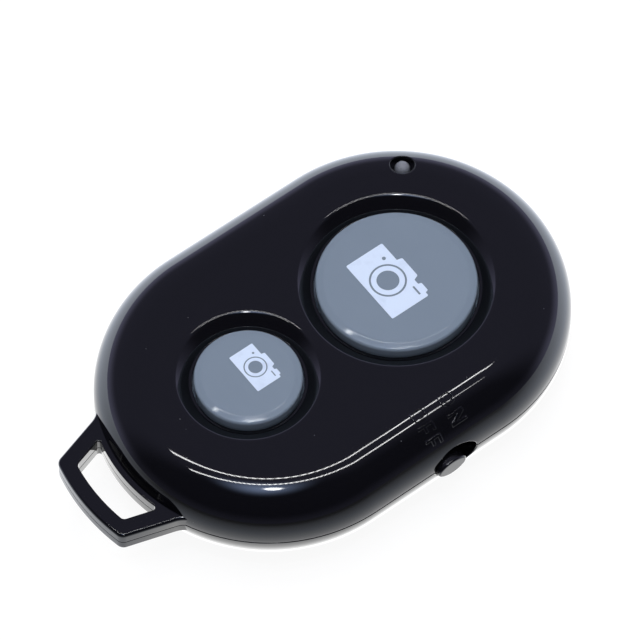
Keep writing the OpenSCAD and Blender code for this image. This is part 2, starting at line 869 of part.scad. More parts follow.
module small_tact_cover() {
    tact_cover(-small_button_offset);
}

module small_tact_plunger() {
    tact_plunger(-small_button_offset);
}

module slide_switch_frame() {
    color("#bfc1c4")
    difference() {
        translate([slide_switch_back, slot_offset - slide_switch_length / 2, board_top])
            cube([slide_switch_depth, slide_switch_length, slide_switch_height]);
        // Hollow, open towards the board
        translate([slide_switch_back + switch_wall,
                   slot_offset - slide_switch_length / 2 + switch_wall, board_top - through])
            cube([slide_switch_depth - 2 * switch_wall, slide_switch_length - 2 * switch_wall,
                  slide_switch_height - switch_wall + through]);
        // Window that the lever comes out of
        translate([slide_switch_front, slot_offset, lever_height - lever_thickness / 2 - stop_play])
            standing_box([2 * (switch_wall + rooting), lever_width + knob_travel + 2 * sliding_play,
                          lever_thickness + 2 * stop_play]);
    }
}

module slide_switch_base() {
    color("#202125")
    translate([slide_switch_front - slide_switch_depth / 2, slot_offset, board_top])
        standing_box([slide_switch_depth - 2 * (switch_wall + seat_play),
                      slide_switch_length - 2 * (switch_wall + seat_play), slide_base_height]);
}

module slide_switch_lever() {
    block_depth = slide_switch_depth - 2 * switch_wall - 2 * sliding_play;
    block_back = slide_switch_back + switch_wall + sliding_play;
    color("#202125")
    translate([block_back, knob_rest, lever_height - lever_thickness / 2]) {
        translate([block_depth / 2, 0, 0])
            standing_box([block_depth, lever_block_length, lever_thickness]);
        translate([0, -lever_width / 2, 0])
            cube([knob_plate_face - block_back, lever_width, lever_thickness]);
    }
}

module radio_chip() {
    color("#26272b")
    translate([-radio_chip_across, -radio_chip_along, board_top])
        standing_box([radio_chip_size, radio_chip_size, radio_chip_height]);
}

module memory_chip() {
    color("#26272b")
    translate([memory_chip_across, -memory_chip_along, board_top]) {
        standing_box([memory_chip_width, memory_chip_length, memory_chip_height]);
        for (row = [-1:1])
            translate([0, row * memory_leg_pitch, 0])
                standing_box([memory_leg_span, memory_leg_width, memory_leg_height]);
    }
}

module crystal() {
    color("#c9b26b")
    translate([-crystal_across, -crystal_along, board_top])
        standing_box([crystal_length, crystal_width, crystal_height]);
}

module status_lamp() {
    color("#e8e6d8")
    translate([light_x, light_y, board_top]) standing_box([lamp_length, lamp_width, lamp_height]);
}

// Board antenna: a flat trace that runs to and fro
module antenna() {
    runs = 6;
    far_side = antenna_run_length - antenna_trace_width;
    color("#b98b4a")
    translate([board_half_width - antenna_margin, antenna_screw_gap - screw_offset, board_top])
        linear_extrude(height = antenna_trace_thickness)
            for (run = [0:runs - 1]) {
                translate([0, run * antenna_pitch])
                    square([antenna_run_length, antenna_trace_width]);
                if (run < runs - 1)
                    translate([run % 2 == 0 ? far_side : 0, run * antenna_pitch])
                        square([antenna_trace_width, antenna_pitch + antenna_trace_width]);
            }
}

// Resistors and capacitors, in three short rows
module small_parts() {
    outer_row = [outer_row_margin - board_half_width, outer_row_along];
    rows = [[-small_row_across, -small_row_along], [small_row_across, -small_row_along], outer_row];
    color("#b9a88a")
    for (row = rows, step = [0:2])
        translate([row.x, row.y + step * small_part_pitch, board_top])
            standing_box([small_part_length, small_part_width, small_part_height]);
}

top_shell();
bottom_shell();
battery_door();
case_screws();
large_button();
small_button();
power_knob();
light_guide();
circuit_board();
cell_can();
cell_cap();
cell_gasket();
negative_contact();
positive_contact();
large_tact_base();
large_tact_cover();
large_tact_plunger();
small_tact_base();
small_tact_cover();
small_tact_plunger();
slide_switch_frame();
slide_switch_base();
slide_switch_lever();
radio_chip();
memory_chip();
crystal();
status_lamp();
antenna();
small_parts();
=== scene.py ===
"""Dresses a handheld camera shutter remote: housing, buttons, switch, light, battery door and insides."""

import logging
import math
from dataclasses import dataclass
from enum import Enum
from functools import cache, partial
from typing import Protocol, Sequence

import bmesh
import bpy
import numpy as np
from mathutils import Matrix, Vector
from mathutils.geometry import delaunay_2d_cdt


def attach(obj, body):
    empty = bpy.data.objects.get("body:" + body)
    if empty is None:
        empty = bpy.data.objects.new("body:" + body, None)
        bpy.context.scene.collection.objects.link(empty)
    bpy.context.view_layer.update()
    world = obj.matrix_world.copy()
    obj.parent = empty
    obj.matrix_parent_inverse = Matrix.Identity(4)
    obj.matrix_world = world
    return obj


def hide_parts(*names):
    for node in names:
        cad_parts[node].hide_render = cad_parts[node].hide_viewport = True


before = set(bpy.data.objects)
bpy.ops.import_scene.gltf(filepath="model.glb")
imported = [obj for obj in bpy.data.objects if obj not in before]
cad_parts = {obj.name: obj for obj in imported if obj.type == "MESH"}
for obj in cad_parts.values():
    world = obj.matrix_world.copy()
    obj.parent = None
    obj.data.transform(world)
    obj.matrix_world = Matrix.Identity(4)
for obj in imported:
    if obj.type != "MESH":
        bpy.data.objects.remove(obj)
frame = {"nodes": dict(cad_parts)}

log = logging.getLogger("shutter_remote")
Array = np.ndarray
Socket = bpy.types.NodeSocket
Inputs = dict[str | int, object]
MM = 0.001


class Body(Enum):
    """Bodies of the frame that pieces ride on."""

    HANDSET = "handset"
    LARGE_PRESS = "large_press"
    SMALL_PRESS = "small_press"
    POWER_SLIDER = "power_slider"
    DOOR = "door"


class Slot(Enum):
    """Material slots of the record."""

    HOUSING = "housing"
    BUTTON = "button_plastic"
    KNOB = "knob_plastic"
    CLEAR = "clear_plastic"
    SCREW = "screw_steel"
    PALE = "pale_moulding"


class Half(Enum):
    """The two halves of the housing; the value is the side of the parting line that it lies on."""

    UPPER = 1
    LOWER = -1


# Materials


def linear(colour: str) -> tuple[float, float, float, float]:
    """Turn a colour into linear light.

    Args:
        colour: sRGB hex value such as "#74818F".

    Returns:
        Linear red, green, blue and an alpha of 1.
    """
    parts = [int(colour[i : i + 2], 16) / 255 for i in (1, 3, 5)]
    red, green, blue = (p / 12.92 if p <= 0.04045 else ((p + 0.055) / 1.055) ** 2.4 for p in parts)
    return red, green, blue, 1.0


def add_node(
    tree: bpy.types.NodeTree, kind: str, inputs: Inputs | None = None, **settings: object
) -> bpy.types.Node:
    """Add one node to a tree.

    Args:
        tree: The tree that gets the node.
        kind: The node's type.
        inputs: Value or source socket of each input, by name or number.
        settings: The node's own settings.

    Returns:
        The new node.
    """
    node = tree.nodes.new(kind)
    for name, value in settings.items():
        setattr(node, name, value)
    feed(tree, node, inputs or {})
    return node


def feed(tree: bpy.types.NodeTree, node: bpy.types.Node, inputs: Inputs) -> None:
    """Set a node's inputs.

    Args:
        tree: The node's tree.
        node: The node.
        inputs: Value or source socket of each input, by name or number.
    """
    for name, value in inputs.items():
        if isinstance(value, Socket):
            tree.links.new(value, node.inputs[name])
        else:
            node.inputs[name].default_value = value


def repeats(size_mm: float) -> float:
    """Scale at which a pattern's grain has a size in millimetres."""
    return 1 / (size_mm * MM)


def stretched(value: Socket, span: Sequence[float], levels: Sequence[float] = (0.0, 1.0)) -> Inputs:
    """Inputs that stretch a span of a value over two levels."""
    return dict(zip(("Value", "From Min", "From Max", "To Min", "To Max"), (value, *span, *levels)))


class Finish(Protocol):
    """What every finish offers."""

    def material(self) -> bpy.types.Material:
        """Build the material."""


class UnevenFinish(Finish, Protocol):
    """A finish whose roughness varies between two shares of itself."""

    roughness: float
    rough_shares: tuple[float, float]


@cache
def dressed(finish: Finish) -> bpy.types.Material:
    """Build a finish's material once and hand it out again after that."""
    return finish.material()


class Coat:
    """A material under way: one Principled shader and the nodes that feed it."""

    def __init__(self, name: str) -> None:
        """Start the material with its shader and its Object coordinates.

        Args:
            name: The material's name.
        """
        self.material = bpy.data.materials.new(name)
        self.material.use_nodes = True
        self.tree = self.material.node_tree
        self.shader = next(n for n in self.tree.nodes if n.type == "BSDF_PRINCIPLED")
        self.place = self.add("ShaderNodeTexCoord", {}).outputs["Object"]

    def add(self, kind: str, inputs: Inputs, **settings: object) -> bpy.types.Node:
        """Add one node to the material."""
        return add_node(self.tree, kind, inputs, **settings)

    def grain(self, size_mm: float, detail: float) -> Inputs:
        """Inputs of a noise pattern whose grain has a size in millimetres."""
        return {"Vector": self.place, "Scale": repeats(size_mm), "Detail": detail}

    def close(self, pattern: Socket, height_mm: float, share: Socket | None, colours: Sequence[str],
              inputs: Inputs) -> bpy.types.Material:
        """Feed the shader with relief, colour and its other inputs.

        Args:
            pattern: The pattern that stands up as relief.
            height_mm: Its height in millimetres.
            share: How much of the second colour shows; with None the first one is everywhere.
            colours: One or two sRGB hex values.
            inputs: The shader's other inputs.

        Returns:
            The finished material.
        """
        bump = self.add("ShaderNodeBump", {"Height": pattern, "Distance": height_mm * MM, "Strength": 1.0})
        colour = linear(colours[0])
        if share is not None:
            mix = {"Factor": share, "A": colour, "B": linear(colours[1])}
            colour = self.add("ShaderNodeMix", mix, data_type="RGBA").outputs["Result"]
        feed(self.tree, self.shader, {"Base Color": colour, "Normal": bump.outputs["Normal"], **inputs})
        return self.material


# The range that nearly all values of a noise pattern lie in
NOISE_SPAN = (0.3, 0.7)


def rough_levels(finish: UnevenFinish) -> tuple[float, ...]:
    """Lowest and highest roughness of a finish."""
    return tuple(finish.roughness * share for share in finish.rough_shares)


@dataclass(frozen=True)
class GlossAbs:
    """High gloss ABS from a polished mould: a deep colour under a mirror skin, with faint ripple and dust."""

    name: str
    colour: str = "#07070a"
    dust: str = "#3a3c42"
    roughness: float = 0.045
    rough_shares: tuple[float, float] = (0.8, 1.3)
    ior: float = 1.62
    ripple_mm: float = 5.0
    ripple_height_mm: float = 0.0006
    dust_spacing_mm: float = 1.9
    dust_roughness: float = 0.6
    # Where a grain of dust starts to thin out and where it ends, as shares of the spacing
    dust_shares: tuple[float, float] = (0.02, 0.042)

    def material(self) -> bpy.types.Material:
        """Build the gloss with its ripple and its few grains of dust.

        Returns:
            The material.
        """
        coat = Coat(self.name)
        ripple = coat.add("ShaderNodeTexNoise", coat.grain(self.ripple_mm, 1.0)).outputs["Fac"]
        grains = coat.add("ShaderNodeTexVoronoi", {
            "Vector": coat.place, "Scale": repeats(self.dust_spacing_mm)})
        speck = coat.add("ShaderNodeMapRange", stretched(
            grains.outputs["Distance"], self.dust_shares, (1.0, 0.0))).outputs["Result"]
        film = coat.add("ShaderNodeMapRange", stretched(ripple, NOISE_SPAN, rough_levels(self)))
        rough = coat.add("ShaderNodeMix", {
            "Factor": speck, "A": film.outputs["Result"], "B": self.dust_roughness}, data_type="FLOAT")
        return coat.close(ripple, self.ripple_height_mm, speck, (self.colour, self.dust), {
            "Roughness": rough.outputs["Result"], "IOR": self.ior})


@dataclass(frozen=True)
class SatinAbs:
    """Painted ABS from a spark-eroded mould: an even mid tone under a soft sheen with narrow glints."""

    name: str
    colour: str = "#758190"
    shade: str = "#707c8b"
    roughness: float = 0.07
    rough_shares: tuple[float, float] = (0.9, 1.15)
    ior: float = 1.5
    # Coarser than real spark grain, so that it shows
    grain_mm: float = 0.12
    grain_height_mm: float = 0.0008
    cloud_mm: float = 6.0

    def material(self) -> bpy.types.Material:
        """Build the satin colour with its grain and its slight clouding.

        Returns:
            The material.
        """
        coat = Coat(self.name)
        cloud = coat.add("ShaderNodeTexNoise", coat.grain(self.cloud_mm, 2.0)).outputs["Fac"]
        grain = coat.add("ShaderNodeTexNoise", coat.grain(self.grain_mm, 2.0)).outputs["Fac"]
        rough = coat.add("ShaderNodeMapRange", stretched(grain, NOISE_SPAN, rough_levels(self)))
        return coat.close(grain, self.grain_height_mm, cloud, (self.colour, self.shade), {
            "Roughness": rough.outputs["Result"], "IOR": self.ior})


@dataclass(frozen=True)
class Flecked:
    """An opaque skin with patches of a second colour, which stand up a little."""

    name: str
    colour: str
    fleck: str
    roughness: float
    fleck_mm: float
    fleck_span: tuple[float, float]
    relief_mm: float

    def material(self) -> bpy.types.Material:
        """Build the skin with its patches.

        Returns:
            The material.
        """
        coat = Coat(self.name)
        patch = coat.add("ShaderNodeTexNoise", coat.grain(self.fleck_mm, 3.0)).outputs["Fac"]
        cover = coat.add("ShaderNodeMapRange", stretched(patch, self.fleck_span)).outputs["Result"]
        return coat.close(patch, self.relief_mm, cover, (self.colour, self.fleck), {
            "Roughness": self.roughness})


@dataclass(frozen=True)
class PadInk(Flecked):
    """Pad-printed ink: a thin opaque film whose colour varies a little where it was laid thinner."""

    colour: str = "#c5d2e8"
    fleck: str = "#bcc9e0"
    roughness: float = 0.36
    fleck_mm: float = 0.9
    fleck_span: tuple[float, float] = (0.52, 0.75)
    relief_mm: float = 0.001


@dataclass(frozen=True)
class FrostedAcrylic:
    """Clear acrylic with a frosted tip: a milky grey body that lets the dark of its bore through."""

    name: str
    colour: str = "#8e919b"
    roughness: float = 0.3
    rough_shares: tuple[float, float] = (0.8, 1.4)
    transmission: float = 0.35
    ior: float = 1.49
    # Coarser than real frosting, so that it shows
    frost_mm: float = 0.09
    frost_height_mm: float = 0.002

    def material(self) -> bpy.types.Material:
        """Build the frosted clear plastic.

        Returns:
            The material.
        """
        coat = Coat(self.name)
        frost = coat.add("ShaderNodeTexNoise", coat.grain(self.frost_mm, 2.0)).outputs["Fac"]
        rough = coat.add("ShaderNodeMapRange", stretched(frost, NOISE_SPAN, rough_levels(self)))
        return coat.close(frost, self.frost_height_mm, None, (self.colour,), {
            "Roughness": rough.outputs["Result"], "Transmission Weight": self.transmission, "IOR": self.ior})


@dataclass(frozen=True)
class PlatedMetal:
    """Plated or rolled sheet metal: a bright metal whose fine drawn lines stretch its reflections."""

    name: str
    colour: str
    tarnish: str
    roughness: float = 0.26
    rough_shares: tuple[float, float] = (0.75, 1.3)
    # Wider than real drawn lines, so that they show
    line_mm: tuple[float, float, float] = (0.06, 2.5, 0.06)
    line_height_mm: float = 0.0008
    blotch_mm: float = 2.2
    blotch_span: tuple[float, float] = (0.45, 0.75)

    def material(self) -> bpy.types.Material:
        """Build the metal with its drawn lines and its faint tarnish.

        Returns:
            The material.
        """
        coat = Coat(self.name)
        drawn = coat.add("ShaderNodeMapping", {
            "Vector": coat.place, "Scale": tuple(repeats(size) for size in self.line_mm)})
        lines = coat.add("ShaderNodeTexNoise", {
            "Vector": drawn.outputs["Vector"], "Scale": 1.0, "Detail": 2.0}).outputs["Fac"]
        blotch = coat.add("ShaderNodeTexNoise", coat.grain(self.blotch_mm, 3.0)).outputs["Fac"]
        stain = coat.add("ShaderNodeMapRange", stretched(blotch, self.blotch_span)).outputs["Result"]
        rough = coat.add("ShaderNodeMapRange", stretched(lines, NOISE_SPAN, rough_levels(self)))
        return coat.close(lines, self.line_height_mm, stain, (self.colour, self.tarnish), {
            "Roughness": rough.outputs["Result"], "Metallic": 1.0})


@dataclass(frozen=True)
class MouldedNylon(Flecked):
    """Glass-filled moulding compound: matt, with the tiny pits and pale fibres of its filler."""

    roughness: float = 0.55
    # Coarser than real glass fibre, so that it shows
    fleck_mm: float = 0.1
    fleck_span: tuple[float, float] = (0.56, 0.74)
    relief_mm: float = 0.004


@dataclass(frozen=True)
class SolderMask:
    """Green solder mask over glass laminate: glossy lacquer, paler where copper runs beneath it."""

    name: str = "solder_mask_laminate"
    colour: str = "#0b4a2c"
    copper: str = "#1d6b3c"
    roughness: float = 0.28
    track_mm: float = 1.3
    track_span: tuple[float, float] = (0.42, 0.5)
    track_turn: float = 45.0
    copper_mm: float = 0.02

    def material(self) -> bpy.types.Material:
        """Build the lacquered laminate with its hidden tracks.

        Returns:
            The material.
        """
        coat = Coat(self.name)
        scaled = coat.add("ShaderNodeMapping", {
            "Vector": coat.place, "Scale": (repeats(self.track_mm),) * 3,
            "Rotation": (0.0, 0.0, math.radians(self.track_turn))})
        tracks = coat.add(
            "ShaderNodeTexVoronoi", {"Vector": scaled.outputs["Vector"], "Scale": 1.0},
            distance="MANHATTAN", feature="F1").outputs["Distance"]
        edge = coat.add("ShaderNodeMapRange", stretched(tracks, self.track_span)).outputs["Result"]
        return coat.close(edge, self.copper_mm, edge, (self.colour, self.copper), {
            "Roughness": self.roughness})


# The housing's gloss black ABS: it gives the eye near-black with sharp mirrored light
HOUSING_BLACK = GlossAbs("gloss_black_abs")
# The knob is the same plastic from another mould, a trace greyer
KNOB_BLACK = GlossAbs("gloss_black_knob_abs", colour="#0a0a0d", roughness=0.09)
# The buttons' blue-grey paint
BUTTON_GREY = SatinAbs("satin_blue_grey_abs")
# The pictograms' pale blue ink
BUTTON_INK = PadInk("pale_blue_pad_ink")
# The status light's frosted guide
GUIDE_CLEAR = FrostedAcrylic("frosted_acrylic")
# Zinc on the case screws
SCREW_ZINC = PlatedMetal(
    "zinc_plated_steel", "#a3a6aa", "#7f8184", roughness=0.32, line_mm=(0.05, 0.05, 0.05))
# Bright nickel on the coin cell
CELL_NICKEL = PlatedMetal(
    "bright_nickel_steel", "#cfcecb", "#b9b6b0", roughness=0.2, line_mm=(1.8, 0.07, 0.07))
# Tin on the switches' sheet metal
SWITCH_TIN = PlatedMetal("tinned_steel_sheet", "#bfc1c4", "#a5a7aa", roughness=0.34)
# Plated spring sheet of the battery contacts
CONTACT_GOLD = PlatedMetal("gold_plated_bronze", "#d9bd74", "#b8964f", roughness=0.24)
# Bare copper of the antenna, under lacquer
ANTENNA_COPPER = PlatedMetal("lacquered_copper", "#c08552", "#9b6436", roughness=0.3)
# Black compound of the switches, the gasket and the chips
DARK_COMPOUND = MouldedNylon("black_nylon_compound", "#121316", "#24262b")
CHIP_EPOXY = MouldedNylon("black_chip_epoxy", "#17181b", "#2c2e33", roughness=0.48, fleck_mm=0.07)
# Off-white compound of the plungers and the lamp
PALE_COMPOUND = MouldedNylon("ivory_nylon_compound", "#d6d0bf", "#e6e1d4", roughness=0.42)
# Tan ceramic of the capacitors
TAN_CERAMIC = MouldedNylon("tan_capacitor_ceramic", "#9c7a52", "#b08f68", roughness=0.5, fleck_mm=0.08)
BOARD_GREEN = SolderMask()


# Plane shapes


def ring_of(radius: float | Array, steps: int, centre: tuple[float, float] = (0.0, 0.0)) -> Array:
    """Make a circle, anticlockwise, with one radius or one for each point."""
    turn = np.arange(steps) * (2 * math.pi / steps)
    return np.stack([np.cos(turn), np.sin(turn)], 1) * np.reshape(radius, (-1, 1)) + centre


def arc(centre: Sequence[float], radius: float, start: float, end: float, steps: int) -> Array:
    """Make an arc between two directions in degrees, both ends included."""
    turn = np.radians(np.linspace(start, end, steps + 1))
    return np.stack([np.cos(turn), np.sin(turn)], 1) * radius + np.asarray(centre)


def dense(loop: Array, spacing: float) -> Array:
    """Add points along the straight sides of a closed loop.

    Args:
        loop: The loop's corners.
        spacing: Largest distance between neighbours.

    Returns:
        The loop with points added.
    """
    rows = []
    for here, there in zip(loop, np.roll(loop, -1, 0)):
        count = max(1, math.ceil(np.linalg.norm(there - here) / spacing))
        rows.append(here + (there - here) * (np.arange(count) / count)[:, None])
    return np.concatenate(rows)


def grown(loop: Array, distance: float | Array) -> Array:
    """Move every point of an anticlockwise loop outwards.

    Args:
        loop: The closed loop.
        distance: How far, once for all or for each point; negative moves inwards.

    Returns:
        The moved loop.
    """
    ahead = np.roll(loop, -1, 0) - loop
    behind = loop - np.roll(loop, 1, 0)
    ahead = ahead / np.linalg.norm(ahead, axis=1, keepdims=True)
    behind = behind / np.linalg.norm(behind, axis=1, keepdims=True)
    first = np.stack([ahead[:, 1], -ahead[:, 0]], 1)
    mean = first + np.stack([behind[:, 1], -behind[:, 0]], 1)
    mean /= np.linalg.norm(mean, axis=1, keepdims=True)
    mitre = 1 / np.maximum((mean * first).sum(1), 0.6)
    return loop + mean * (np.broadcast_to(distance, len(loop)) * mitre)[:, None]


def softened(
    corners: Sequence[Sequence[float]], cuts: Sequence[float], steps: int = 5, closed: bool = True
) -> Array:
    """Round the corners of a path.

    Args:
        corners: The path's corners.
        cuts: Distance from each corner at which its curve starts; 0 keeps it sharp.
        steps: Steps in each curve.
        closed: Whether the path ends where it began.

    Returns:
        The rounded path.
    """
    points = np.asarray(corners, float)
    rows = []
    for i, (here, cut) in enumerate(zip(points, cuts)):
        if cut <= 0 or (not closed and i in (0, len(points) - 1)):
            rows.append(here[None])
            continue
        back = points[i - 1] - here
        on = points[(i + 1) % len(points)] - here
        start = here + back / np.linalg.norm(back) * cut
        end = here + on / np.linalg.norm(on) * cut
        rows += [start[None], *[r[None, 0] for r in rounded(start[None], here[None], end[None], steps)]]
    return np.concatenate(rows)


def rounded(start: Array, corner: Array, end: Array, steps: int) -> list[Array]:
    """Make rows of points that turn a corner on a circular arc.

    Args:
        start: Points where the turn starts, one for each place along the edge.
        corner: The sharp corner's points.
        end: Points where the turn ends.
        steps: Number of rows.

    Returns:
        The rows after the start, the last one being the end.
    """
    into, out = corner - start, end - corner
    both = np.linalg.norm(into, axis=1) * np.linalg.norm(out, axis=1)
    weight = np.sqrt(np.clip((1 + (into * out).sum(1) / np.maximum(both, 1e-12)) / 2, 0.01, 1))[:, None]
    rows = []
    for t in np.arange(1, steps + 1) / steps:
        a, b, c = (1 - t) ** 2, 2 * t * (1 - t) * weight, t * t
        rows.append((a * start + b * corner + c * end) / (a + b + c))
    return rows


def inside(points: Array, loop: Array) -> Array:
    """Tell which points lie inside a closed loop.

    Args:
        points: The points to test.
        loop: The closed loop.

    Returns:
        True for each point inside.
    """
    x, y = points[:, :1], points[:, 1:2]
    x0, y0 = loop.T
    x1, y1 = np.roll(loop, -1, 0).T
    rise = np.where(y1 == y0, 1e-12, y1 - y0)
    crosses = ((y0 > y) != (y1 > y)) & (x < x0 + (y - y0) * (x1 - x0) / rise)
    return crosses.sum(1) % 2 == 1


def within(points: Array, loops: Sequence[Array]) -> Array:
    """Tell which points lie inside the first loop and outside the others.

    Args:
        points: The points to test.
        loops: The outer loop, then the holes.

    Returns:
        True for each such point.
    """
    keep = inside(points, loops[0])
    for hole in loops[1:]:
        keep &= ~inside(points, hole)
    return keep


def clear_of(points: Array, loops: Sequence[Array], gap: float) -> Array:
    """Tell which points keep a distance from every point of some loops.

    Args:
        points: The points to test.
        loops: The loops.
        gap: The distance to keep.

    Returns:
        True for each such point.
    """
    edge = np.concatenate(loops)
    near = ((points[:, None] - edge[None]) ** 2).sum(2).min(1)
    return near > gap * gap


def filled(points: Array, loops: Sequence[Array]) -> tuple[Array, Array, list[list[int]]]:
    """Fill the region between loops with triangles.

    Args:
        points: The points of all loops in order, then those inside the region.
        loops: The outer loop, then the holes.

    Returns:
        The corner points, the triangles as rows of their numbers, and the given points behind each corner.
    """
    edges, start = [], 0
    for loop in loops:
        size = len(loop)
        edges += [(start + i, start + (i + 1) % size) for i in range(size)]
        start += size
    flat, _, triangles, origin, *_ = delaunay_2d_cdt([Vector(p) for p in points], edges, [], 0, 1e-7)
    flat, triangles = np.array([tuple(p) for p in flat]), np.array(triangles)
    return flat, triangles[within(flat[triangles].mean(1), loops)], origin


def bearing(point: Array) -> float:
    """Direction of a point from the origin, in degrees."""
    return math.degrees(math.atan2(point[1], point[0]))


def mirrored(right: Array) -> Array:
    """Close a loop with the mirror image of its right half, which ends on the middle line at both ends."""
    return np.concatenate([right, (right[1:-1] * (-1, 1))[::-1]])


def column(first: float, second: Array) -> Array:
    """Make rows whose first place is always the same."""
    return np.stack([np.full(len(second), first), second], 1)


def oval(length: float, height: float, end_radius: float, end_steps: int = 10, side_steps: int = 12) -> Array:
    """Make an oval with round ends and gently curved long sides.

    Args:
        length: Length along the first axis.
        height: Height along the second axis.
        end_radius: Radius of the ends.
        end_steps: Steps in a quarter of an end.
        side_steps: Steps in a long side.

    Returns:
        The anticlockwise loop, from the far right.
    """
    end_x, half = length / 2 - end_radius, height / 2
    side = (end_x**2 + half**2 - end_radius**2) / (2 * (half - end_radius))
    meet = math.degrees(math.atan2(side - half, end_x))
    upper = np.concatenate([
        arc((end_x, 0), end_radius, 0, meet, end_steps)[:-1],
        arc((0, half - side), side, meet, 180 - meet, side_steps)[:-1],
        arc((-end_x, 0), end_radius, 180 - meet, 180, end_steps)[:-1],
    ])
    return np.concatenate([upper, -upper])


# Surfaces

# Steps along a straight side of the housing and round one of its ends
SIDE_STEPS = 24
END_STEPS = 72


class Surface(Protocol):
    """A sheet that lifts points of a plane into space."""

    def lift(self, flat: Array) -> Array:
        """Give the points in space."""

    def normals(self, flat: Array) -> Array:
        """Give the directions square to the sheet."""


@dataclass(frozen=True)
class PodSkin:
    """One skin of the pill-shaped housing, unrolled to a plane over its curved shoulder."""

    crest: float
    radius: float
    seam: float
    end: float
    half: Half
    notched: bool = False

    def _spokes(self, flat: Array) -> tuple[Array, Array, Array]:
        """Split plane points into the middle line's point, the direction out and the distance.

        Args:
            flat: Points of the plane.

        Returns:
            The middle line's nearest points, the directions out from them, and the distances.
        """
        base = column(0.0, np.clip(flat[:, 1], -self.end, self.end))
        out = flat - base
        far = np.linalg.norm(out, axis=1)
        return base, out / np.maximum(far, 1e-9)[:, None], far

    def unroll(self, plan: Array) -> Array:
        """Turn points seen from above into the skin's plane.

        Args:
            plan: Points seen from above.

        Returns:
            The same points in the skin's plane.
        """
        base, out, far = self._spokes(plan)
        turn = np.arcsin(np.clip((far - self.crest) / self.radius, 0, 1))
        return base + out * np.where(far > self.crest, self.crest + self.radius * turn, far)[:, None]

    def reach(self, height: float | Array) -> float | Array:
        """Distance in the skin's plane at which the skin has a height."""
        share = np.clip(self.half.value * (np.asarray(height) - self.seam) / self.radius, -1, 1)
        return self.crest + self.radius * np.arccos(share)

    def _bare(self, flat: Array) -> Array:
        """Lift plane points to the skin without its notch.

        Args:
            flat: Points of the plane.

        Returns:
            The points in space.
        """
        base, out, far = self._spokes(flat)
        turn = np.clip((far - self.crest) / self.radius, 0, None)
        reach = np.where(far > self.crest, self.crest + self.radius * np.sin(turn), far)
        height = self.seam + self.half.value * self.radius * np.cos(turn)
        return np.concatenate([base + out * reach[:, None], height[:, None]], 1)

    def lift(self, flat: Array) -> Array:
        """Lift plane points to the skin.

        Args:
            flat: Points of the plane.

        Returns:
            The points in space.
        """
        points = self._bare(flat)
        if self.notched:
            hollow = NAIL_NOTCH.depth(points[:, :2])
            points[:, 2] = np.maximum(points[:, 2], hollow)
        return points

    def normals(self, flat: Array) -> Array:
        """Give the directions square to the skin, from small steps on it.

        Args:
            flat: Points of the plane.

        Returns:
            One direction for each point.
        """
        step = 1e-3
        along = self.lift(flat + (step, 0)) - self.lift(flat - (step, 0))
        across = self.lift(flat + (0, step)) - self.lift(flat - (0, step))
        square = np.cross(along, across)
        return square / np.linalg.norm(square, axis=1, keepdims=True)

    def outward(self, flat: Array) -> Array:
        """Give the level directions that point out of the housing."""
        return np.concatenate([self._spokes(flat)[1], np.zeros((len(flat), 1))], 1)

    def seeds(self, start: float, stop: float, rows: int) -> Array:
        """Spread points in rows that follow the outline, between two distances in the plane."""
        return np.concatenate([self.outline(distance) for distance in np.linspace(start, stop, rows)])

    def outline(self, distance: float) -> Array:
        """Make the closed outline at a distance from the middle line, anticlockwise from the +X side.

        Args:
            distance: The distance.

        Returns:
            The closed loop.
        """
        right = column(distance, np.linspace(-self.end, self.end, SIDE_STEPS + 1)[:-1])
        top = arc((0, self.end), distance, 0, 180, END_STEPS)[:-1]
        return np.concatenate([right, top, -right, -top])


@dataclass(frozen=True)
class Level:
    """A flat level face."""

    height: float

    def lift(self, flat: Array) -> Array:
        """Lift plane points to the face."""
        return np.concatenate([flat, np.full((len(flat), 1), self.height)], 1)

    def normals(self, flat: Array) -> Array:
        """Give the upright directions."""
        return np.tile((0.0, 0.0, 1.0), (len(flat), 1))


@dataclass(frozen=True)
class Raised:
    """A sheet that runs at a distance from another."""

    under: PodSkin
    rise: float

    def lift(self, flat: Array) -> Array:
        """Lift plane points to the sheet."""
        return self.under.lift(flat) + self.under.normals(flat) * (self.rise * self.under.half.value)

    def normals(self, flat: Array) -> Array:
        """Give the directions square to the sheet."""
        return self.under.normals(flat)


@dataclass(frozen=True)
class NailNotch:
    """Hollow for a fingernail at the battery door's edge."""

    centre: float = -11.25
    drop: float = 1.5
    radius: float = 2.2
    half_length: float = 2.5
    half_width: float = 1.75
    margin: float = 0.2
    fade: float = 0.3
    spacing: float = 0.14

    def depth(self, plan: Array) -> Array:
        """Give the hollow's height over the resting face.

        Args:
            plan: Points seen from above.

        Returns:
            The height, 0 or less outside the hollow.
        """
        across = np.clip(self.radius**2 - (plan[:, 1] - self.centre) ** 2, 0, None)
        full = np.sqrt(across) - self.drop
        end = np.clip((self.half_length - np.abs(plan[:, 0])) / self.fade, 0, 1)
        return np.where(full > 0, full * end * end * (3 - 2 * end), -1.0) - 1e-6

    def seeds(self) -> Array:
        """Spread points closely over the hollow.

        Returns:
            The points, seen from above.
        """
        x = np.arange(-self.half_length - self.margin, self.half_length + self.margin, self.spacing)
        y = np.arange(self.centre - self.half_width, self.centre + self.half_width, self.spacing)
        return np.stack(np.meshgrid(x, y), -1).reshape(-1, 2) + 1e-4


NAIL_NOTCH = NailNotch()


# Mesh


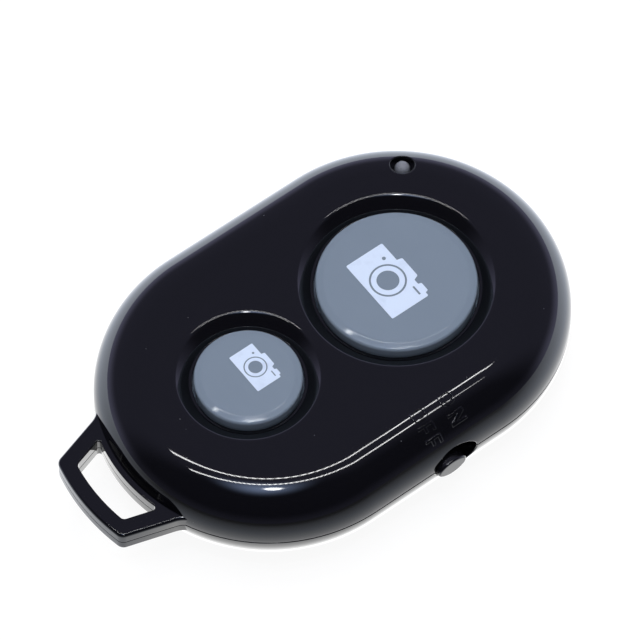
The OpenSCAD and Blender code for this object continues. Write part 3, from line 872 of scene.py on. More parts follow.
class Mould:
    """Gathers the points and faces of one piece, in millimetres."""

    def __init__(self) -> None:
        """Start empty."""
        self.blocks: list[Array] = []
        self.count = 0
        self.faces: list[tuple[int, ...]] = []
        self.known: dict[int, Array] = {}

    def add(self, points: Array, normals: Array | None = None) -> Array:
        """Add points.

        Args:
            points: The points, one row each.
            normals: Their exact normals, where these are known.

        Returns:
            The points' numbers.
        """
        numbers = np.arange(self.count, self.count + len(points))
        self.blocks.append(np.asarray(points, float))
        self.count += len(points)
        if normals is not None:
            self.known.update(zip(numbers.tolist(), normals))
        return numbers

    def bridge(self, first: Array, second: Array, closed: bool = True) -> None:
        """Join two rows of points with four-sided faces.

        Args:
            first: Numbers of one row's points.
            second: Numbers of the other's.
            closed: Whether the rows run all the way round.
        """
        size = len(first)
        for i in range(size if closed else size - 1):
            j = (i + 1) % size
            self.faces.append((int(first[i]), int(first[j]), int(second[j]), int(second[i])))

    def follow(self, start: Array, rows: Sequence[Array]) -> Array:
        """Run faces from a closed row of points through new rows.

        Args:
            start: Numbers of the first row's points.
            rows: The points of each new row.

        Returns:
            Numbers of the last row's points.
        """
        for points in rows:
            row = self.add(points)
            self.bridge(start, row)
            start = row
        return start

    def cap(self, ring: Array) -> None:
        """Close a flat ring with one face."""
        self.faces.append(tuple(int(i) for i in ring))

    def sheet(self, surface: Surface, outline: Array, holes: Sequence[Array] = (), seeds: Array | None = None,
              gap: float = 0.12) -> list[Array]:
        """Cover a region with triangles.

        Args:
            surface: The sheet that the region lies on.
            outline: The region's outer loop, in the sheet's plane.
            holes: Loops that stay open.
            seeds: Points to use inside the region.
            gap: Distance that those keep from the loops.

        Returns:
            The numbers of the points on the outer loop and on each hole.
        """
        loops = [outline, *holes]
        points = np.concatenate(loops)
        if seeds is not None:
            points = np.concatenate([points, seeds[within(seeds, loops) & clear_of(seeds, loops, gap)]])
        flat, triangles, origin = filled(points, loops)
        numbers = self.add(surface.lift(flat), surface.normals(flat))
        self.faces += [tuple(int(i) for i in row) for row in numbers[triangles]]
        place = {number: k for k, rows in enumerate(origin) for number in rows}
        ends = np.cumsum([len(loop) for loop in loops])
        return [numbers[[place[i] for i in range(end - len(loop), end)]] for loop, end in zip(loops, ends)]

    def plate(self, rings: Sequence[Array]) -> None:
        """Fill the level face between rings of existing points.

        Args:
            rings: Numbers of the outer ring's points, then of each inner ring's.
        """
        seen = np.concatenate(self.blocks)[:, :2]
        joined = np.concatenate(rings)
        _, triangles, origin = filled(seen[joined], [seen[ring] for ring in rings])
        numbers = joined[[rows[0] for rows in origin]]
        self.faces += [tuple(int(i) for i in row) for row in numbers[triangles]]

    def turned(self, profile: Array, centre: tuple[float, float], steps: int) -> None:
        """Turn a profile of radius and height round an upright axis.

        Args:
            profile: The path; one that starts and ends at radius 0 is closed with flat faces.
            centre: Place of the axis.
            steps: Steps round the axis.
        """
        rows = [self.add(Level(z).lift(ring_of(r, steps, centre))) for r, z in profile if r > 1e-6]
        for first, second in zip(rows, rows[1:]):
            self.bridge(first, second)
        if profile[0][0] <= 1e-6:
            self.cap(rows[0])
            self.cap(rows[-1])
        else:
            self.bridge(rows[-1], rows[0])

    def piece(self, name: str, finish: Finish) -> bpy.types.Object:
        """Make the piece's object.

        Args:
            name: The object's name.
            finish: What it is made of.

        Returns:
            The object, with its faces outwards and its normals set.
        """
        points = np.concatenate(self.blocks)
        form = bmesh.new()
        corners = [form.verts.new(p * MM) for p in points]
        for face in self.faces:
            form.faces.new([corners[i] for i in face])
        bmesh.ops.recalc_face_normals(form, faces=form.faces)
        loose = [v for v in form.verts if not v.link_faces]
        used = [i for i, v in enumerate(corners) if v.link_faces]
        bmesh.ops.delete(form, geom=loose, context="VERTS")
        mesh = bpy.data.meshes.new(name)
        form.to_mesh(mesh)
        form.free()
        renumber = {old: new for new, old in enumerate(used)}
        shade(mesh, {renumber[i]: n for i, n in self.known.items() if i in renumber})
        mesh.materials.append(dressed(finish))
        return placed(name, mesh)


def shade(mesh: bpy.types.Mesh, known: dict[int, Array], crease: float = 38.0) -> None:
    """Set the normal of each face corner, so that gloss runs smoothly over curves and stays flat on flats.

    Args:
        mesh: The mesh to shade.
        known: Exact normals of some points.
        crease: Angle in degrees between faces past which an edge stays sharp.
    """
    faces, corners = len(mesh.polygons), len(mesh.loops)
    normals, areas = np.empty(faces * 3), np.empty(faces)
    totals, owners = np.empty(faces, int), np.empty(corners, int)
    mesh.polygons.foreach_get("normal", normals)
    mesh.polygons.foreach_get("area", areas)
    mesh.polygons.foreach_get("loop_total", totals)
    mesh.loops.foreach_get("vertex_index", owners)
    normals = normals.reshape(-1, 3)
    face_of = np.repeat(np.arange(faces), totals)
    order = np.argsort(owners, kind="stable")
    bounds = np.searchsorted(owners[order], np.arange(len(mesh.vertices) + 1))
    limit = math.cos(math.radians(crease))
    result = np.empty((corners, 3))
    for vertex in range(len(mesh.vertices)):
        here = order[bounds[vertex] : bounds[vertex + 1]]
        around = normals[face_of[here]]
        if vertex in known:
            exact = np.asarray(known[vertex])
            result[here] = np.where((around @ exact < 0)[:, None], -exact, exact)
            continue
        same = (around @ around.T) > limit
        mixed = (same * areas[face_of[here]][None]) @ around
        result[here] = mixed / np.maximum(np.linalg.norm(mixed, axis=1, keepdims=True), 1e-12)
    mesh.polygons.foreach_set("use_smooth", np.ones(faces, bool))
    mesh.normals_split_custom_set(result.tolist())


def placed(name: str, data: bpy.types.ID) -> bpy.types.Object:
    """Make an object of some data and put it in the scene.

    Args:
        name: The object's name.
        data: Its mesh, light or camera.

    Returns:
        The object.
    """
    made = bpy.data.objects.new(name, data)
    bpy.context.scene.collection.objects.link(made)
    return made


def settle(piece: bpy.types.Object, body: Body, slot: Slot, *nodes: str) -> None:
    """Bind a piece to the frame.

    Args:
        piece: The finished piece.
        body: The body that it rides on.
        slot: Not used.
        nodes: CAD nodes that it stands for.
    """
    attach(piece, body.value)
    if nodes:
        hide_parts(*nodes)
    log.info("%s: %d faces on %s", piece.name, len(piece.data.polygons), body.value)


# Housing


@dataclass(frozen=True)
class SwitchSlot:
    """The oval slot of the power switch, in the side wall at the parting line."""

    length: float = 4.7
    height: float = 3.3
    end_radius: float = 1.3
    along: float = 1.75
    gap: float = 0.05

    def path(self, half: Half, level: float) -> Array:
        """Follow one half of the slot's edge from the eye side to the light side.

        Args:
            half: The half of the housing.
            level: Height over the parting line at which the path starts and ends.

        Returns:
            Rows of place along the side and height over the parting line.
        """
        loop = oval(self.length, self.height, self.end_radius)
        upper = loop[: len(loop) // 2][::-1]
        upper = upper[upper[:, 1] > level + self.gap]
        foot = self.length / 2 - self.end_radius + math.sqrt(self.end_radius**2 - level**2)
        path = np.concatenate([[(-foot, level)], upper, [(foot, level)]])
        return path * (1, half.value) + (self.along, 0)


@dataclass(frozen=True)
class LanyardEye:
    """The eye at the end of the housing, seen from the centre of its rounded end with +Y outwards."""

    outer_radius: float = 20.7
    bar_width: float = 1.5
    side_width: float = 1.7
    lean: float = 17.2
    corner_angle: float = 12.3
    housing_radius: float = 16.0
    ledge: float = 0.35
    root_radius: float = 2.2
    root_bite: float = 0.2
    thickness: float = 2.3
    edge: float = 0.3
    opening_edge: float = 0.13
    line_edge: float = 0.07
    far_fillet: float = 0.5
    near_fillet: float = 0.28
    rooted_to: float = 14.9
    # Length taken off the hollow's end inside the wall, and the shares of it that the heel there uses
    heel_cut: float = 0.42
    heel_reach: float = 1.05
    heel_rounding: float = 0.95

    def _frame(self) -> tuple[Array, Array, Array]:
        """Give the outer corner's centre and a side bar's two directions.

        Returns:
            The corner, the bar's way inwards and its way outwards.
        """
        turn, lean = math.radians(self.corner_angle), math.radians(self.lean)
        corner = (self.outer_radius - self.side_width / 2) * np.array([math.sin(turn), math.cos(turn)])
        return corner, np.array([math.sin(lean), -math.cos(lean)]), np.array([math.cos(lean), math.sin(lean)])

    @staticmethod
    def _run_to(start: Array, along: Array, radius: float) -> float:
        """Distance along a line to its first crossing of a circle round the origin."""
        dot = float(start @ along)
        return -dot - math.sqrt(dot**2 - float(start @ start) + radius**2)

    def outer(self) -> Array:
        """Outline of the eye, closed inside the housing's wall, anticlockwise.

        Returns:
            The closed loop.
        """
        corner, inward, outward = self._frame()
        half = self.side_width / 2
        start = corner + outward * (half + self.root_radius)
        run = self._run_to(start, inward, self.housing_radius + self.root_radius - self.root_bite)
        hollow = start + run * inward
        deep = hollow * (1 - self.root_radius / np.linalg.norm(hollow))
        low = bearing(-hollow) - math.degrees(self.heel_cut / self.root_radius)
        swing = arc(hollow, self.root_radius, low, bearing(-outward), 12)
        crown = 90 - self.corner_angle
        base = bearing(hollow) + math.degrees(self.heel_reach * self.heel_cut / self.rooted_to)
        foot = deep * (self.rooted_to / np.linalg.norm(deep))
        behind = arc((0, 0), self.rooted_to, 90, base, 16)
        cut = self.heel_rounding * self.heel_cut
        heel = softened([behind[-1], foot, deep, swing[0]], [0, cut, cut, 0], 6, closed=False)
        right = np.concatenate([
            behind[:-1],
            heel[:-1],
            swing,
            arc(corner, half, bearing(outward), crown, 10),
            arc((0, 0), self.outer_radius, crown, 90, 24)[1:],
        ])
        return mirrored(right)

    def opening(self) -> Array:
        """Outline of the opening with its rounded corners, anticlockwise.

        Returns:
            The closed loop.
        """
        corner, inward, outward = self._frame()
        edge = corner - outward * (self.side_width / 2)
        far, near = self.outer_radius - self.bar_width, self.housing_radius + self.ledge
        start = edge - outward * self.far_fillet
        far_centre = start + self._run_to(start, inward, far - self.far_fillet) * inward
        start = edge - outward * self.near_fillet
        near_centre = start + self._run_to(start, inward, near + self.near_fillet) * inward
        away, far_turn, near_turn = (bearing(point) for point in (outward, far_centre, -near_centre))
        right = np.concatenate([
            arc((0, 0), near, 90, near_turn + 180, 24)[:-1],
            arc(near_centre, self.near_fillet, near_turn, away, 10),
            arc(far_centre, self.far_fillet, away, far_turn, 8),
            arc((0, 0), far, far_turn, 90, 20)[1:],
        ])
        return mirrored(right)

    def build(self, mould: Mould, half: Half, seam: float, end: float) -> None:
        """Add one half of the eye to a shell's mesh.

        Args:
            mould: The shell's mesh.
            half: The half of the housing.
            seam: Height of the parting line.
            end: Distance of the rounded end's centre from the middle.
        """
        face = seam + half.value * self.thickness / 2

        def place(loop: Array, height: float) -> Array:
            """Turn a loop to the housing's end and give it a height."""
            return Level(height).lift(loop * (-1, -1) + (0, -end))

        tops, feet = [], []
        for loop, grow in ((self.outer(), -self.edge), (self.opening(), self.opening_edge)):
            level = place(grown(loop, grow), face)
            top = mould.add(level, np.tile((0.0, 0.0, float(half.value)), (len(level), 1)))
            row = mould.follow(top, rounded(
                level, place(loop, face), place(loop, face - half.value * abs(grow)), 7))
            above = place(loop, seam + half.value * self.line_edge)
            row = mould.follow(row, [above])
            row = mould.follow(row, rounded(
                above, place(loop, seam), place(grown(loop, math.copysign(self.line_edge, grow)), seam), 3))
            tops.append(top)
            feet.append(row)
        mould.plate(tops)
        mould.plate(feet)


@dataclass(frozen=True)
class Well:
    """One button's well: a sloping wall, a floor and the hole for the button."""

    along: float
    button_radius: float
    floor: float = 9.25
    underside: float = 8.3
    rim_margin: float = 1.75
    floor_margin: float = 0.45
    play: float = 0.15
    backing: float = 0.75
    rim_edge: float = 0.26
    floor_edge: float = 0.04
    hole_edge: float = 0.06
    steps: int = 120

    @property
    def centre(self) -> tuple[float, float]:
        """Centre of the well seen from above."""
        return 0.0, self.along

    def loop(self, radius: float) -> Array:
        """Circle round the well's centre."""
        return ring_of(radius, self.steps, self.centre)

    def build(self, mould: Mould, rim: Array, top: float) -> Array:
        """Run the well from its rim to the underside of its hole.

        Args:
            mould: The upper shell's mesh.
            rim: Numbers of the points where the flat top ends.
            top: Height of that flat top.

        Returns:
            Numbers of the points at the hole's lower end.
        """
        def at(radius: float, height: float) -> Array:
            """Circle of the well at a height."""
            return Level(height).lift(self.loop(radius))

        rim_radius = self.button_radius + self.rim_margin
        foot_radius = self.button_radius + self.floor_margin
        slope = np.array([foot_radius - rim_radius, self.floor - top])
        slope /= np.linalg.norm(slope)
        first = (rim_radius + slope[0] * self.rim_edge, top + slope[1] * self.rim_edge)
        last = (foot_radius - slope[0] * self.floor_edge, self.floor - slope[1] * self.floor_edge)
        hole = self.button_radius + self.play
        row = mould.follow(rim, rounded(
            at(rim_radius + self.rim_edge, top), at(rim_radius, top), at(*first), 6))
        row = mould.follow(row, [at(*last)])
        row = mould.follow(row, rounded(
            at(*last), at(foot_radius, self.floor), at(foot_radius - self.floor_edge, self.floor), 4))
        edge = at(hole + self.hole_edge, self.floor)
        row = mould.follow(row, [edge])
        row = mould.follow(row, rounded(edge, at(hole, self.floor), at(hole, self.floor - self.hole_edge), 3))
        return mould.follow(row, [at(hole, self.underside)])


@dataclass(frozen=True)
class Shell:
    """What the two shells of the housing share."""

    half_width: float = 16.0
    end: float = 7.25
    height: float = 10.4
    seam: float = 5.65
    wall: float = 1.3
    screw_offset: float = 17.9
    slot: SwitchSlot = SwitchSlot()
    eye: LanyardEye = LanyardEye()
    slot_edge: float = 0.14
    seam_edge: float = 0.05
    edge_step: float = 0.25
    # Rows of points over the curved part of each skin, and steps round each hole
    outer_rows: int = 25
    inner_rows: int = 12
    hole_steps: int = 48
    door_steps: int = 160

    def skins(self, half: Half, notched: bool = False) -> tuple[PodSkin, PodSkin]:
        """Give the outer and the inner skin of one half.

        Args:
            half: The half of the housing.
            notched: Whether the outer skin has the nail notch.

        Returns:
            The two skins.
        """
        rise = self.height - self.seam if half is Half.UPPER else self.seam
        crest = self.half_width - rise
        return (
            PodSkin(crest, rise, self.seam, self.end, half, notched),
            PodSkin(crest, rise - self.wall, self.seam, self.end, half),
        )

    def edge_loop(self, skin: PodSkin, level: float) -> tuple[Array, Array]:
        """Follow the shell's edge along the parting line and round the slot.

        Args:
            skin: The skin whose edge it is.
            level: Distance of the edge from the parting line.

        Returns:
            The loop in the skin's plane, and how far each point's edge is rounded.
        """
        distance = float(skin.reach(self.seam + skin.half.value * level))
        path = self.slot.path(skin.half, level)
        before = np.linspace(-self.end, path[0, 0], 17)[:-1]
        after = np.linspace(path[-1, 0], self.end, 9)[1:-1]
        right = np.concatenate([
            column(distance, before),
            np.stack([skin.reach(self.seam + path[:, 1]), path[:, 0]], 1),
            column(distance, after),
        ])
        loop = np.concatenate([right, skin.outline(distance)[SIDE_STEPS:]])
        edges = np.full(len(loop), self.seam_edge)
        edges[len(before) + 1 : len(before) + len(path) - 1] = self.slot_edge
        return loop, edges

    def wrap_edge(self, mould: Mould, outer: PodSkin, rings: tuple[Array, Array], level: float) -> None:
        """Join the outer and the inner skin along the parting line and round the slot.

        Args:
            mould: The shell's mesh.
            outer: The outer skin.
            rings: Numbers of the points on the outer and on the inner skin's edge.
            level: Distance of the edge from the parting line.
        """
        loop, edges = self.edge_loop(outer, level)
        start = outer.lift(grown(loop, -edges))
        corner = outer.lift(loop)
        inward = -outer.outward(loop)
        row = mould.follow(rings[0], rounded(start, corner, corner + inward * edges[:, None], 4))
        row = mould.follow(row, [corner + inward * self.edge_step])
        mould.bridge(row, rings[1])


@dataclass(frozen=True)
class UpperShell(Shell):
    """The upper shell, with both wells, the light's hole, half of the slot and half of the eye."""

    large_well: Well = Well(7.145, 7.38)
    small_well: Well = Well(-9.605, 4.92)
    reveal: float = 0.1
    light: tuple[float, float] = (-9.684, 15.231)
    hole_radius: float = 1.05
    lip_radius: float = 1.22
    lip_depth: float = 0.6
    tube_radius: float = 0.87
    tube_wall: float = 0.75
    tube: tuple[float, float] = (7.55, 9.1)
    lip_edge: float = 0.1
    lip_lean: float = 0.02
    lip_turn: float = 0.12
    boss_radius: float = 2.2
    boss_tip_radius: float = 1.6
    bore_radius: float = 1.0
    # Heights of the boss: its tip, its shoulder, the end of its bore and where it meets the ceiling
    boss_tip: float = 5.15
    boss_shoulder: float = 5.95
    bore_end: float = 7.85
    boss_root: float = 9.5
    boss_core: float = 0.4

    def build(self) -> None:
        """Build and dress the upper shell."""
        mould = Mould()
        outer, inner = self.skins(Half.UPPER)
        wells = (self.large_well, self.small_well)
        rims = [w.loop(w.button_radius + w.rim_margin + w.rim_edge) for w in wells]
        lip = outer.unroll(ring_of(self._lip(outer), self.hole_steps, self.light))
        edge, rounding = self.edge_loop(outer, self.reveal)
        seeds = outer.seeds(outer.crest, float(outer.reach(self.seam + self.reveal)), self.outer_rows)
        edge_ring, *hole_rings = mould.sheet(
            outer, grown(edge, -rounding), [*rims, grown(lip, self.lip_edge)], seeds)
        backing = self._backing()
        inner_edge, _ = self.edge_loop(inner, self.reveal)
        bore = inner.unroll(ring_of(self.hole_radius, self.hole_steps, self.light))
        inner_seeds = inner.seeds(inner.crest, float(inner.reach(self.seam + self.reveal)), self.inner_rows)
        inner_ring, backing_ring, bore_ring = mould.sheet(inner, inner_edge, [backing, bore], inner_seeds)
        self.wrap_edge(mould, outer, (edge_ring, inner_ring), self.reveal)
        feet = [w.build(mould, ring, self.height) for w, ring in zip(wells, hole_rings)]
        lowered = mould.follow(backing_ring, [Level(self.large_well.underside).lift(backing)])
        mould.plate([lowered, *feet])
        self._light_hole(mould, outer, lip, hole_rings[2], bore_ring)
        self._inside(mould)
        self.eye.build(mould, Half.UPPER, self.seam, self.end)
        settle(mould.piece("upper_shell", HOUSING_BLACK), Body.HANDSET, Slot.HOUSING, "top_shell")

    def _lip(self, skin: PodSkin) -> Array:
        """Radius of the light's flared lip where it meets the curved skin, for each direction.

        Args:
            skin: The outer skin.

        Returns:
            One radius for each direction.
        """
        radius = np.full(self.hole_steps, self.lip_radius)
        for _ in range(6):
            height = skin.lift(skin.unroll(ring_of(radius, self.hole_steps, self.light)))[:, 2]
            share = np.clip((height - (self.height - self.lip_depth)) / self.lip_depth, 0, 1)
            radius = self.hole_radius + (self.lip_radius - self.hole_radius) * share
        return radius

    def _backing(self) -> Array:
        """Outline of the moulding behind both wells, two circles run together.

        Returns:
            The closed loop.
        """
        large, small = self.large_well, self.small_well
        first = large.button_radius + large.rim_margin + large.backing
        second = small.button_radius + small.rim_margin + small.backing
        apart = large.along - small.along
        meet = (apart**2 + first**2 - second**2) / (2 * apart)
        on_first = math.degrees(math.acos(meet / first))
        on_second = math.degrees(math.acos((apart - meet) / second))
        return np.concatenate([
            arc(large.centre, first, on_first - 90, 270 - on_first, 80)[:-1],
            arc(small.centre, second, 90 + on_second, 450 - on_second, 64)[:-1],
        ])

    def _light_hole(self, mould: Mould, skin: PodSkin, loop: Array, rim: Array, bore: Array) -> None:
        """Run the flared lip and the bore of the light's hole through the wall.

        Args:
            mould: The shell's mesh.
            skin: The outer skin.
            loop: The lip's outline in the skin's plane.
            rim: Numbers of the points round the lip.
            bore: Numbers of the points where the bore ends.
        """
        plan = ring_of(1.0, self.hole_steps, self.light) - self.light
        corner = skin.lift(loop)
        start = corner - np.concatenate([plan * self.lip_lean, np.full((len(plan), 1), self.lip_edge)], 1)
        row = mould.follow(rim, rounded(skin.lift(grown(loop, self.lip_edge)), corner, start, 4))
        bore_loop = ring_of(self.hole_radius, self.hole_steps, self.light)
        turn = np.concatenate([bore_loop, start[:, 2:] - self.lip_turn], 1)
        foot = Level(float(corner[:, 2].min()) - self.lip_depth).lift(bore_loop)
        row = mould.follow(row, rounded(start, turn, foot, 6))
        mould.bridge(row, bore)

    def _inside(self, mould: Mould) -> None:
        """Add the screw bosses and the light guide's tube under the ceiling.

        Args:
            mould: The shell's mesh.
        """
        boss = softened(
            [(self.bore_radius, self.boss_tip), (self.boss_tip_radius, self.boss_tip),
             (self.boss_tip_radius, self.boss_shoulder), (self.boss_radius, self.boss_shoulder),
             (self.boss_radius, self.boss_root), (self.boss_core, self.boss_root),
             (self.boss_core, self.bore_end), (self.bore_radius, self.bore_end)],
            [0.1, 0.1, 0.0, 0.1, 0.0, 0.0, 0.0, 0.0], 3)
        for side in (-1, 1):
            mould.turned(boss, (0.0, side * self.screw_offset), self.hole_steps)
        low, high = self.tube
        outside = self.tube_radius + self.tube_wall
        tube = softened(
            [(self.tube_radius, low), (outside, low), (outside, high), (self.tube_radius, high)],
            [0.06, 0.1, 0.0, 0.06], 3)
        mould.turned(tube, self.light, self.hole_steps)


@dataclass(frozen=True)
class LowerShell(Shell):
    """The lower shell, with the battery opening, the cell's wall and the screw pillars."""

    door_radius: float = 11.25
    bore_radius: float = 10.35
    ring_radius: float = 11.15
    ledge_height: float = 1.05
    ring_top: float = 5.08
    door_edge: float = 0.1
    head_radius: float = 1.7
    head_depth: float = 1.45
    shank_radius: float = 1.1
    pillar_radius: float = 2.4
    tongue: tuple[float, float] = (14.6, 15.3)
    tongue_drop: float = 0.5
    tongue_rise: float = 0.11
    edge_step: float = 0.3
    notch_gap: float = 0.07
    inner_margin: float = 0.3
    bore_chamfer: float = 0.05

    def build(self) -> None:
        """Build and dress the lower shell."""
        mould = Mould()
        outer, inner = self.skins(Half.LOWER, notched=True)
        screws = [(0.0, -self.screw_offset), (0.0, self.screw_offset)]
        door = ring_of(self.door_radius, self.door_steps)
        heads = [ring_of(self.head_radius, self.hole_steps, centre) for centre in screws]
        flat = [outer.unroll(loop) for loop in (door, *heads)]
        edge, rounding = self.edge_loop(outer, 0.0)
        curved = outer.seeds(outer.crest, float(outer.reach(self.seam)), self.outer_rows)
        seeds = np.concatenate([curved, NAIL_NOTCH.seeds()])
        edge_ring, *hole_rings = mould.sheet(
            outer, grown(edge, -rounding), [grown(loop, self.door_edge) for loop in flat], seeds,
            self.notch_gap)
        inner_edge, _ = self.edge_loop(inner, 0.0)
        pillars = [ring_of(self.pillar_radius, self.hole_steps, centre) for centre in screws]
        inside_holes = [inner.unroll(loop) for loop in (ring_of(self.ring_radius, self.door_steps), *pillars)]
        inner_seeds = inner.seeds(
            inner.crest + self.inner_margin, float(inner.reach(self.seam)), self.inner_rows)
        inner_ring, *inside_rings = mould.sheet(inner, inner_edge, inside_holes, inner_seeds)
        self.wrap_edge(mould, outer, (edge_ring, inner_ring), 0.0)
        steps = [
            [(self.door_radius, self.ledge_height), (self.bore_radius + self.bore_chamfer, self.ledge_height),
             (self.bore_radius, self.ledge_height + self.bore_chamfer), (self.bore_radius, self.ring_top),
             (self.ring_radius, self.ring_top)],
            *[[(self.head_radius, self.head_depth), (self.shank_radius, self.head_depth),
               (self.shank_radius, self.ring_top), (self.pillar_radius, self.ring_top)]] * 2,
        ]
        centres = [(0.0, 0.0), *screws]
        for loop, ring, end_ring, profile, centre in zip(flat, hole_rings, inside_rings, steps, centres):
            corner = outer.lift(loop)
            row = mould.follow(ring, rounded(
                outer.lift(grown(loop, self.door_edge)), corner, corner + (0, 0, self.door_edge), 4))
            row = mould.follow(row, [Level(z).lift(ring_of(r, len(loop), centre)) for r, z in profile])
            mould.bridge(row, end_ring)
        self._tongue(mould)
        self.eye.build(mould, Half.LOWER, self.seam, self.end)
        settle(mould.piece("lower_shell", HOUSING_BLACK), Body.HANDSET, Slot.HOUSING, "bottom_shell")

    def _tongue(self, mould: Mould) -> None:
        """Add the tongue that closes the parting line from inside.

        Args:
            mould: The shell's mesh.
        """
        skin, _ = self.skins(Half.LOWER)
        low, high = self.seam - self.tongue_drop, self.seam + self.tongue_rise
        start = self.slot.along + self.slot.length / 2
        stop = self.slot.along - self.slot.length / 2
        side = np.linspace(start, self.end, 6)[:-1]
        other = np.linspace(-self.end, stop, 10)
        turn = arc((0, self.end), 1.0, 0, 180, END_STEPS)[:-1] - (0, self.end)
        spokes = np.concatenate([
            np.tile((1.0, 0.0), (len(side), 1)), turn, np.tile((-1.0, 0.0), (SIDE_STEPS, 1)), -turn,
            np.tile((1.0, 0.0), (len(other), 1))])
        bases = np.concatenate([
            side, np.full(len(turn), skin.end), np.linspace(skin.end, -skin.end, SIDE_STEPS + 1)[:-1],
            np.full(len(turn), -skin.end), other])
        middle = column(0.0, bases)
        near, far = (middle + spokes * d for d in self.tongue)
        rows = [mould.add(Level(z).lift(p)) for p, z in ((near, low), (near, high), (far, high), (far, low))]
        for first, second in zip(rows, [*rows[1:], rows[0]]):
            mould.bridge(first, second, closed=False)
        for end in (0, -1):
            mould.cap(np.array([row[end] for row in rows]))


@dataclass(frozen=True)
class SwitchWords:
    """The words ON and OFF, moulded in low relief on the shoulder above the power switch."""

    cap_height: float = 1.6
    stroke: float = 0.27
    rise: float = 0.1
    draft: float = 0.05
    edge: float = 0.045
    round_width: float = 1.36
    # How square the O is: 1 gives an ellipse
    squareness: float = 0.88
    half_width_n: float = 0.6
    half_width_f: float = 0.44
    bar_of_f: float = 0.02
    bar_cut: float = 0.1
    root: float = 0.12
    # An N's stroke across its corners, as a share of its upright stroke, and how deep its inner corners cut
    lean_share: float = 1.35
    notch: float = 0.12
    corner: float = 0.05
    seed_gap: float = 0.05
    mesh_spacing: float = 0.13
    edge_spacing: float = 0.16

    def _round(self) -> list[Array]:
        """Outline and counter of the letter O.

        Returns:
            The two loops.
        """
        turn = np.radians(np.arange(0, 360, 7.5))
        shape = np.stack([np.cos(turn), np.sin(turn)], 1)
        shape = np.sign(shape) * np.abs(shape) ** self.squareness
        half = np.array([self.round_width, self.cap_height]) / 2
        return [shape * half, shape * (half - self.stroke)]

    def _straight(self, letter: str) -> list[Array]:
        """Outline of the letter N or F.

        Args:
            letter: The letter.

        Returns:
            Its one loop.
        """
        top, line = self.cap_height / 2, self.stroke
        if letter == "N":
            side = self.half_width_n
            lean = line * self.lean_share
            corners = [(-side, -top), (line - side, -top), (line - side, top - 2 * lean + self.notch),
                       (side - lean, -top), (side, -top), (side, top), (side - line, top),
                       (side - line, 2 * lean - self.notch - top), (lean - side, top), (-side, top)]
        else:
            side, bar = self.half_width_f, self.bar_of_f
            short = side - self.bar_cut
            corners = [(-side, -top), (line - side, -top), (line - side, bar - line), (short, bar - line),
                       (short, bar), (line - side, bar), (line - side, top - line), (side, top - line),
                       (side, top), (-side, top)]
        return [softened(corners, [self.corner] * len(corners), 3)]

    def build(self, skin: PodSkin) -> None:
        """Build and dress both words.

        Args:
            skin: The upper shell's outer skin.
        """
        mould = Mould()
        # Each letter's middle: distance over the shoulder from the flat top's edge, and place along the side
        places = (("O", 1.25, 3.2), ("N", 3.21, 3.12), ("O", 1.13, 0.18), ("F", 2.6, 0.05), ("F", 3.97, 0.12))
        for letter, over, along in places:
            loops = self._round() if letter == "O" else self._straight(letter)
            place = (skin.crest + over, along)
            self._letter(mould, skin, [dense(loop, self.edge_spacing) + place for loop in loops])
        settle(mould.piece("switch_words", HOUSING_BLACK), Body.HANDSET, Slot.HOUSING)

    def _letter(self, mould: Mould, skin: PodSkin, loops: list[Array]) -> None:
        """Raise one letter from the skin.

        Args:
            mould: The words' mesh.
            skin: The upper shell's outer skin.
            loops: The letter's outline and counters, in the skin's plane.
        """
        signs = [1] + [-1] * (len(loops) - 1)
        tops = [grown(loop, -self.edge * s) for loop, s in zip(loops, signs)]
        feet = [grown(loop, self.draft * s) for loop, s in zip(loops, signs)]
        low, high = loops[0].min(0), loops[0].max(0)
        grid = np.stack(np.meshgrid(*(np.arange(a, b, self.mesh_spacing) for a, b in zip(low, high))), -1)
        seeds = grid.reshape(-1, 2) + 1e-3
        upper = mould.sheet(Raised(skin, self.rise), tops[0], tops[1:], seeds, self.seed_gap)
        lower = mould.sheet(Raised(skin, -self.root), feet[0], feet[1:], seeds, self.seed_gap)
        for loop, top, foot, high_ring, low_ring in zip(loops, tops, feet, upper, lower):
            start = Raised(skin, self.rise).lift(top)
            corner = Raised(skin, self.rise).lift(loop)
            end = Raised(skin, self.rise - self.edge).lift(loop)
            row = mould.follow(high_ring, rounded(start, corner, end, 4))
            row = mould.follow(row, [Raised(skin, 0.0).lift(foot)])
            mould.bridge(row, low_ring)


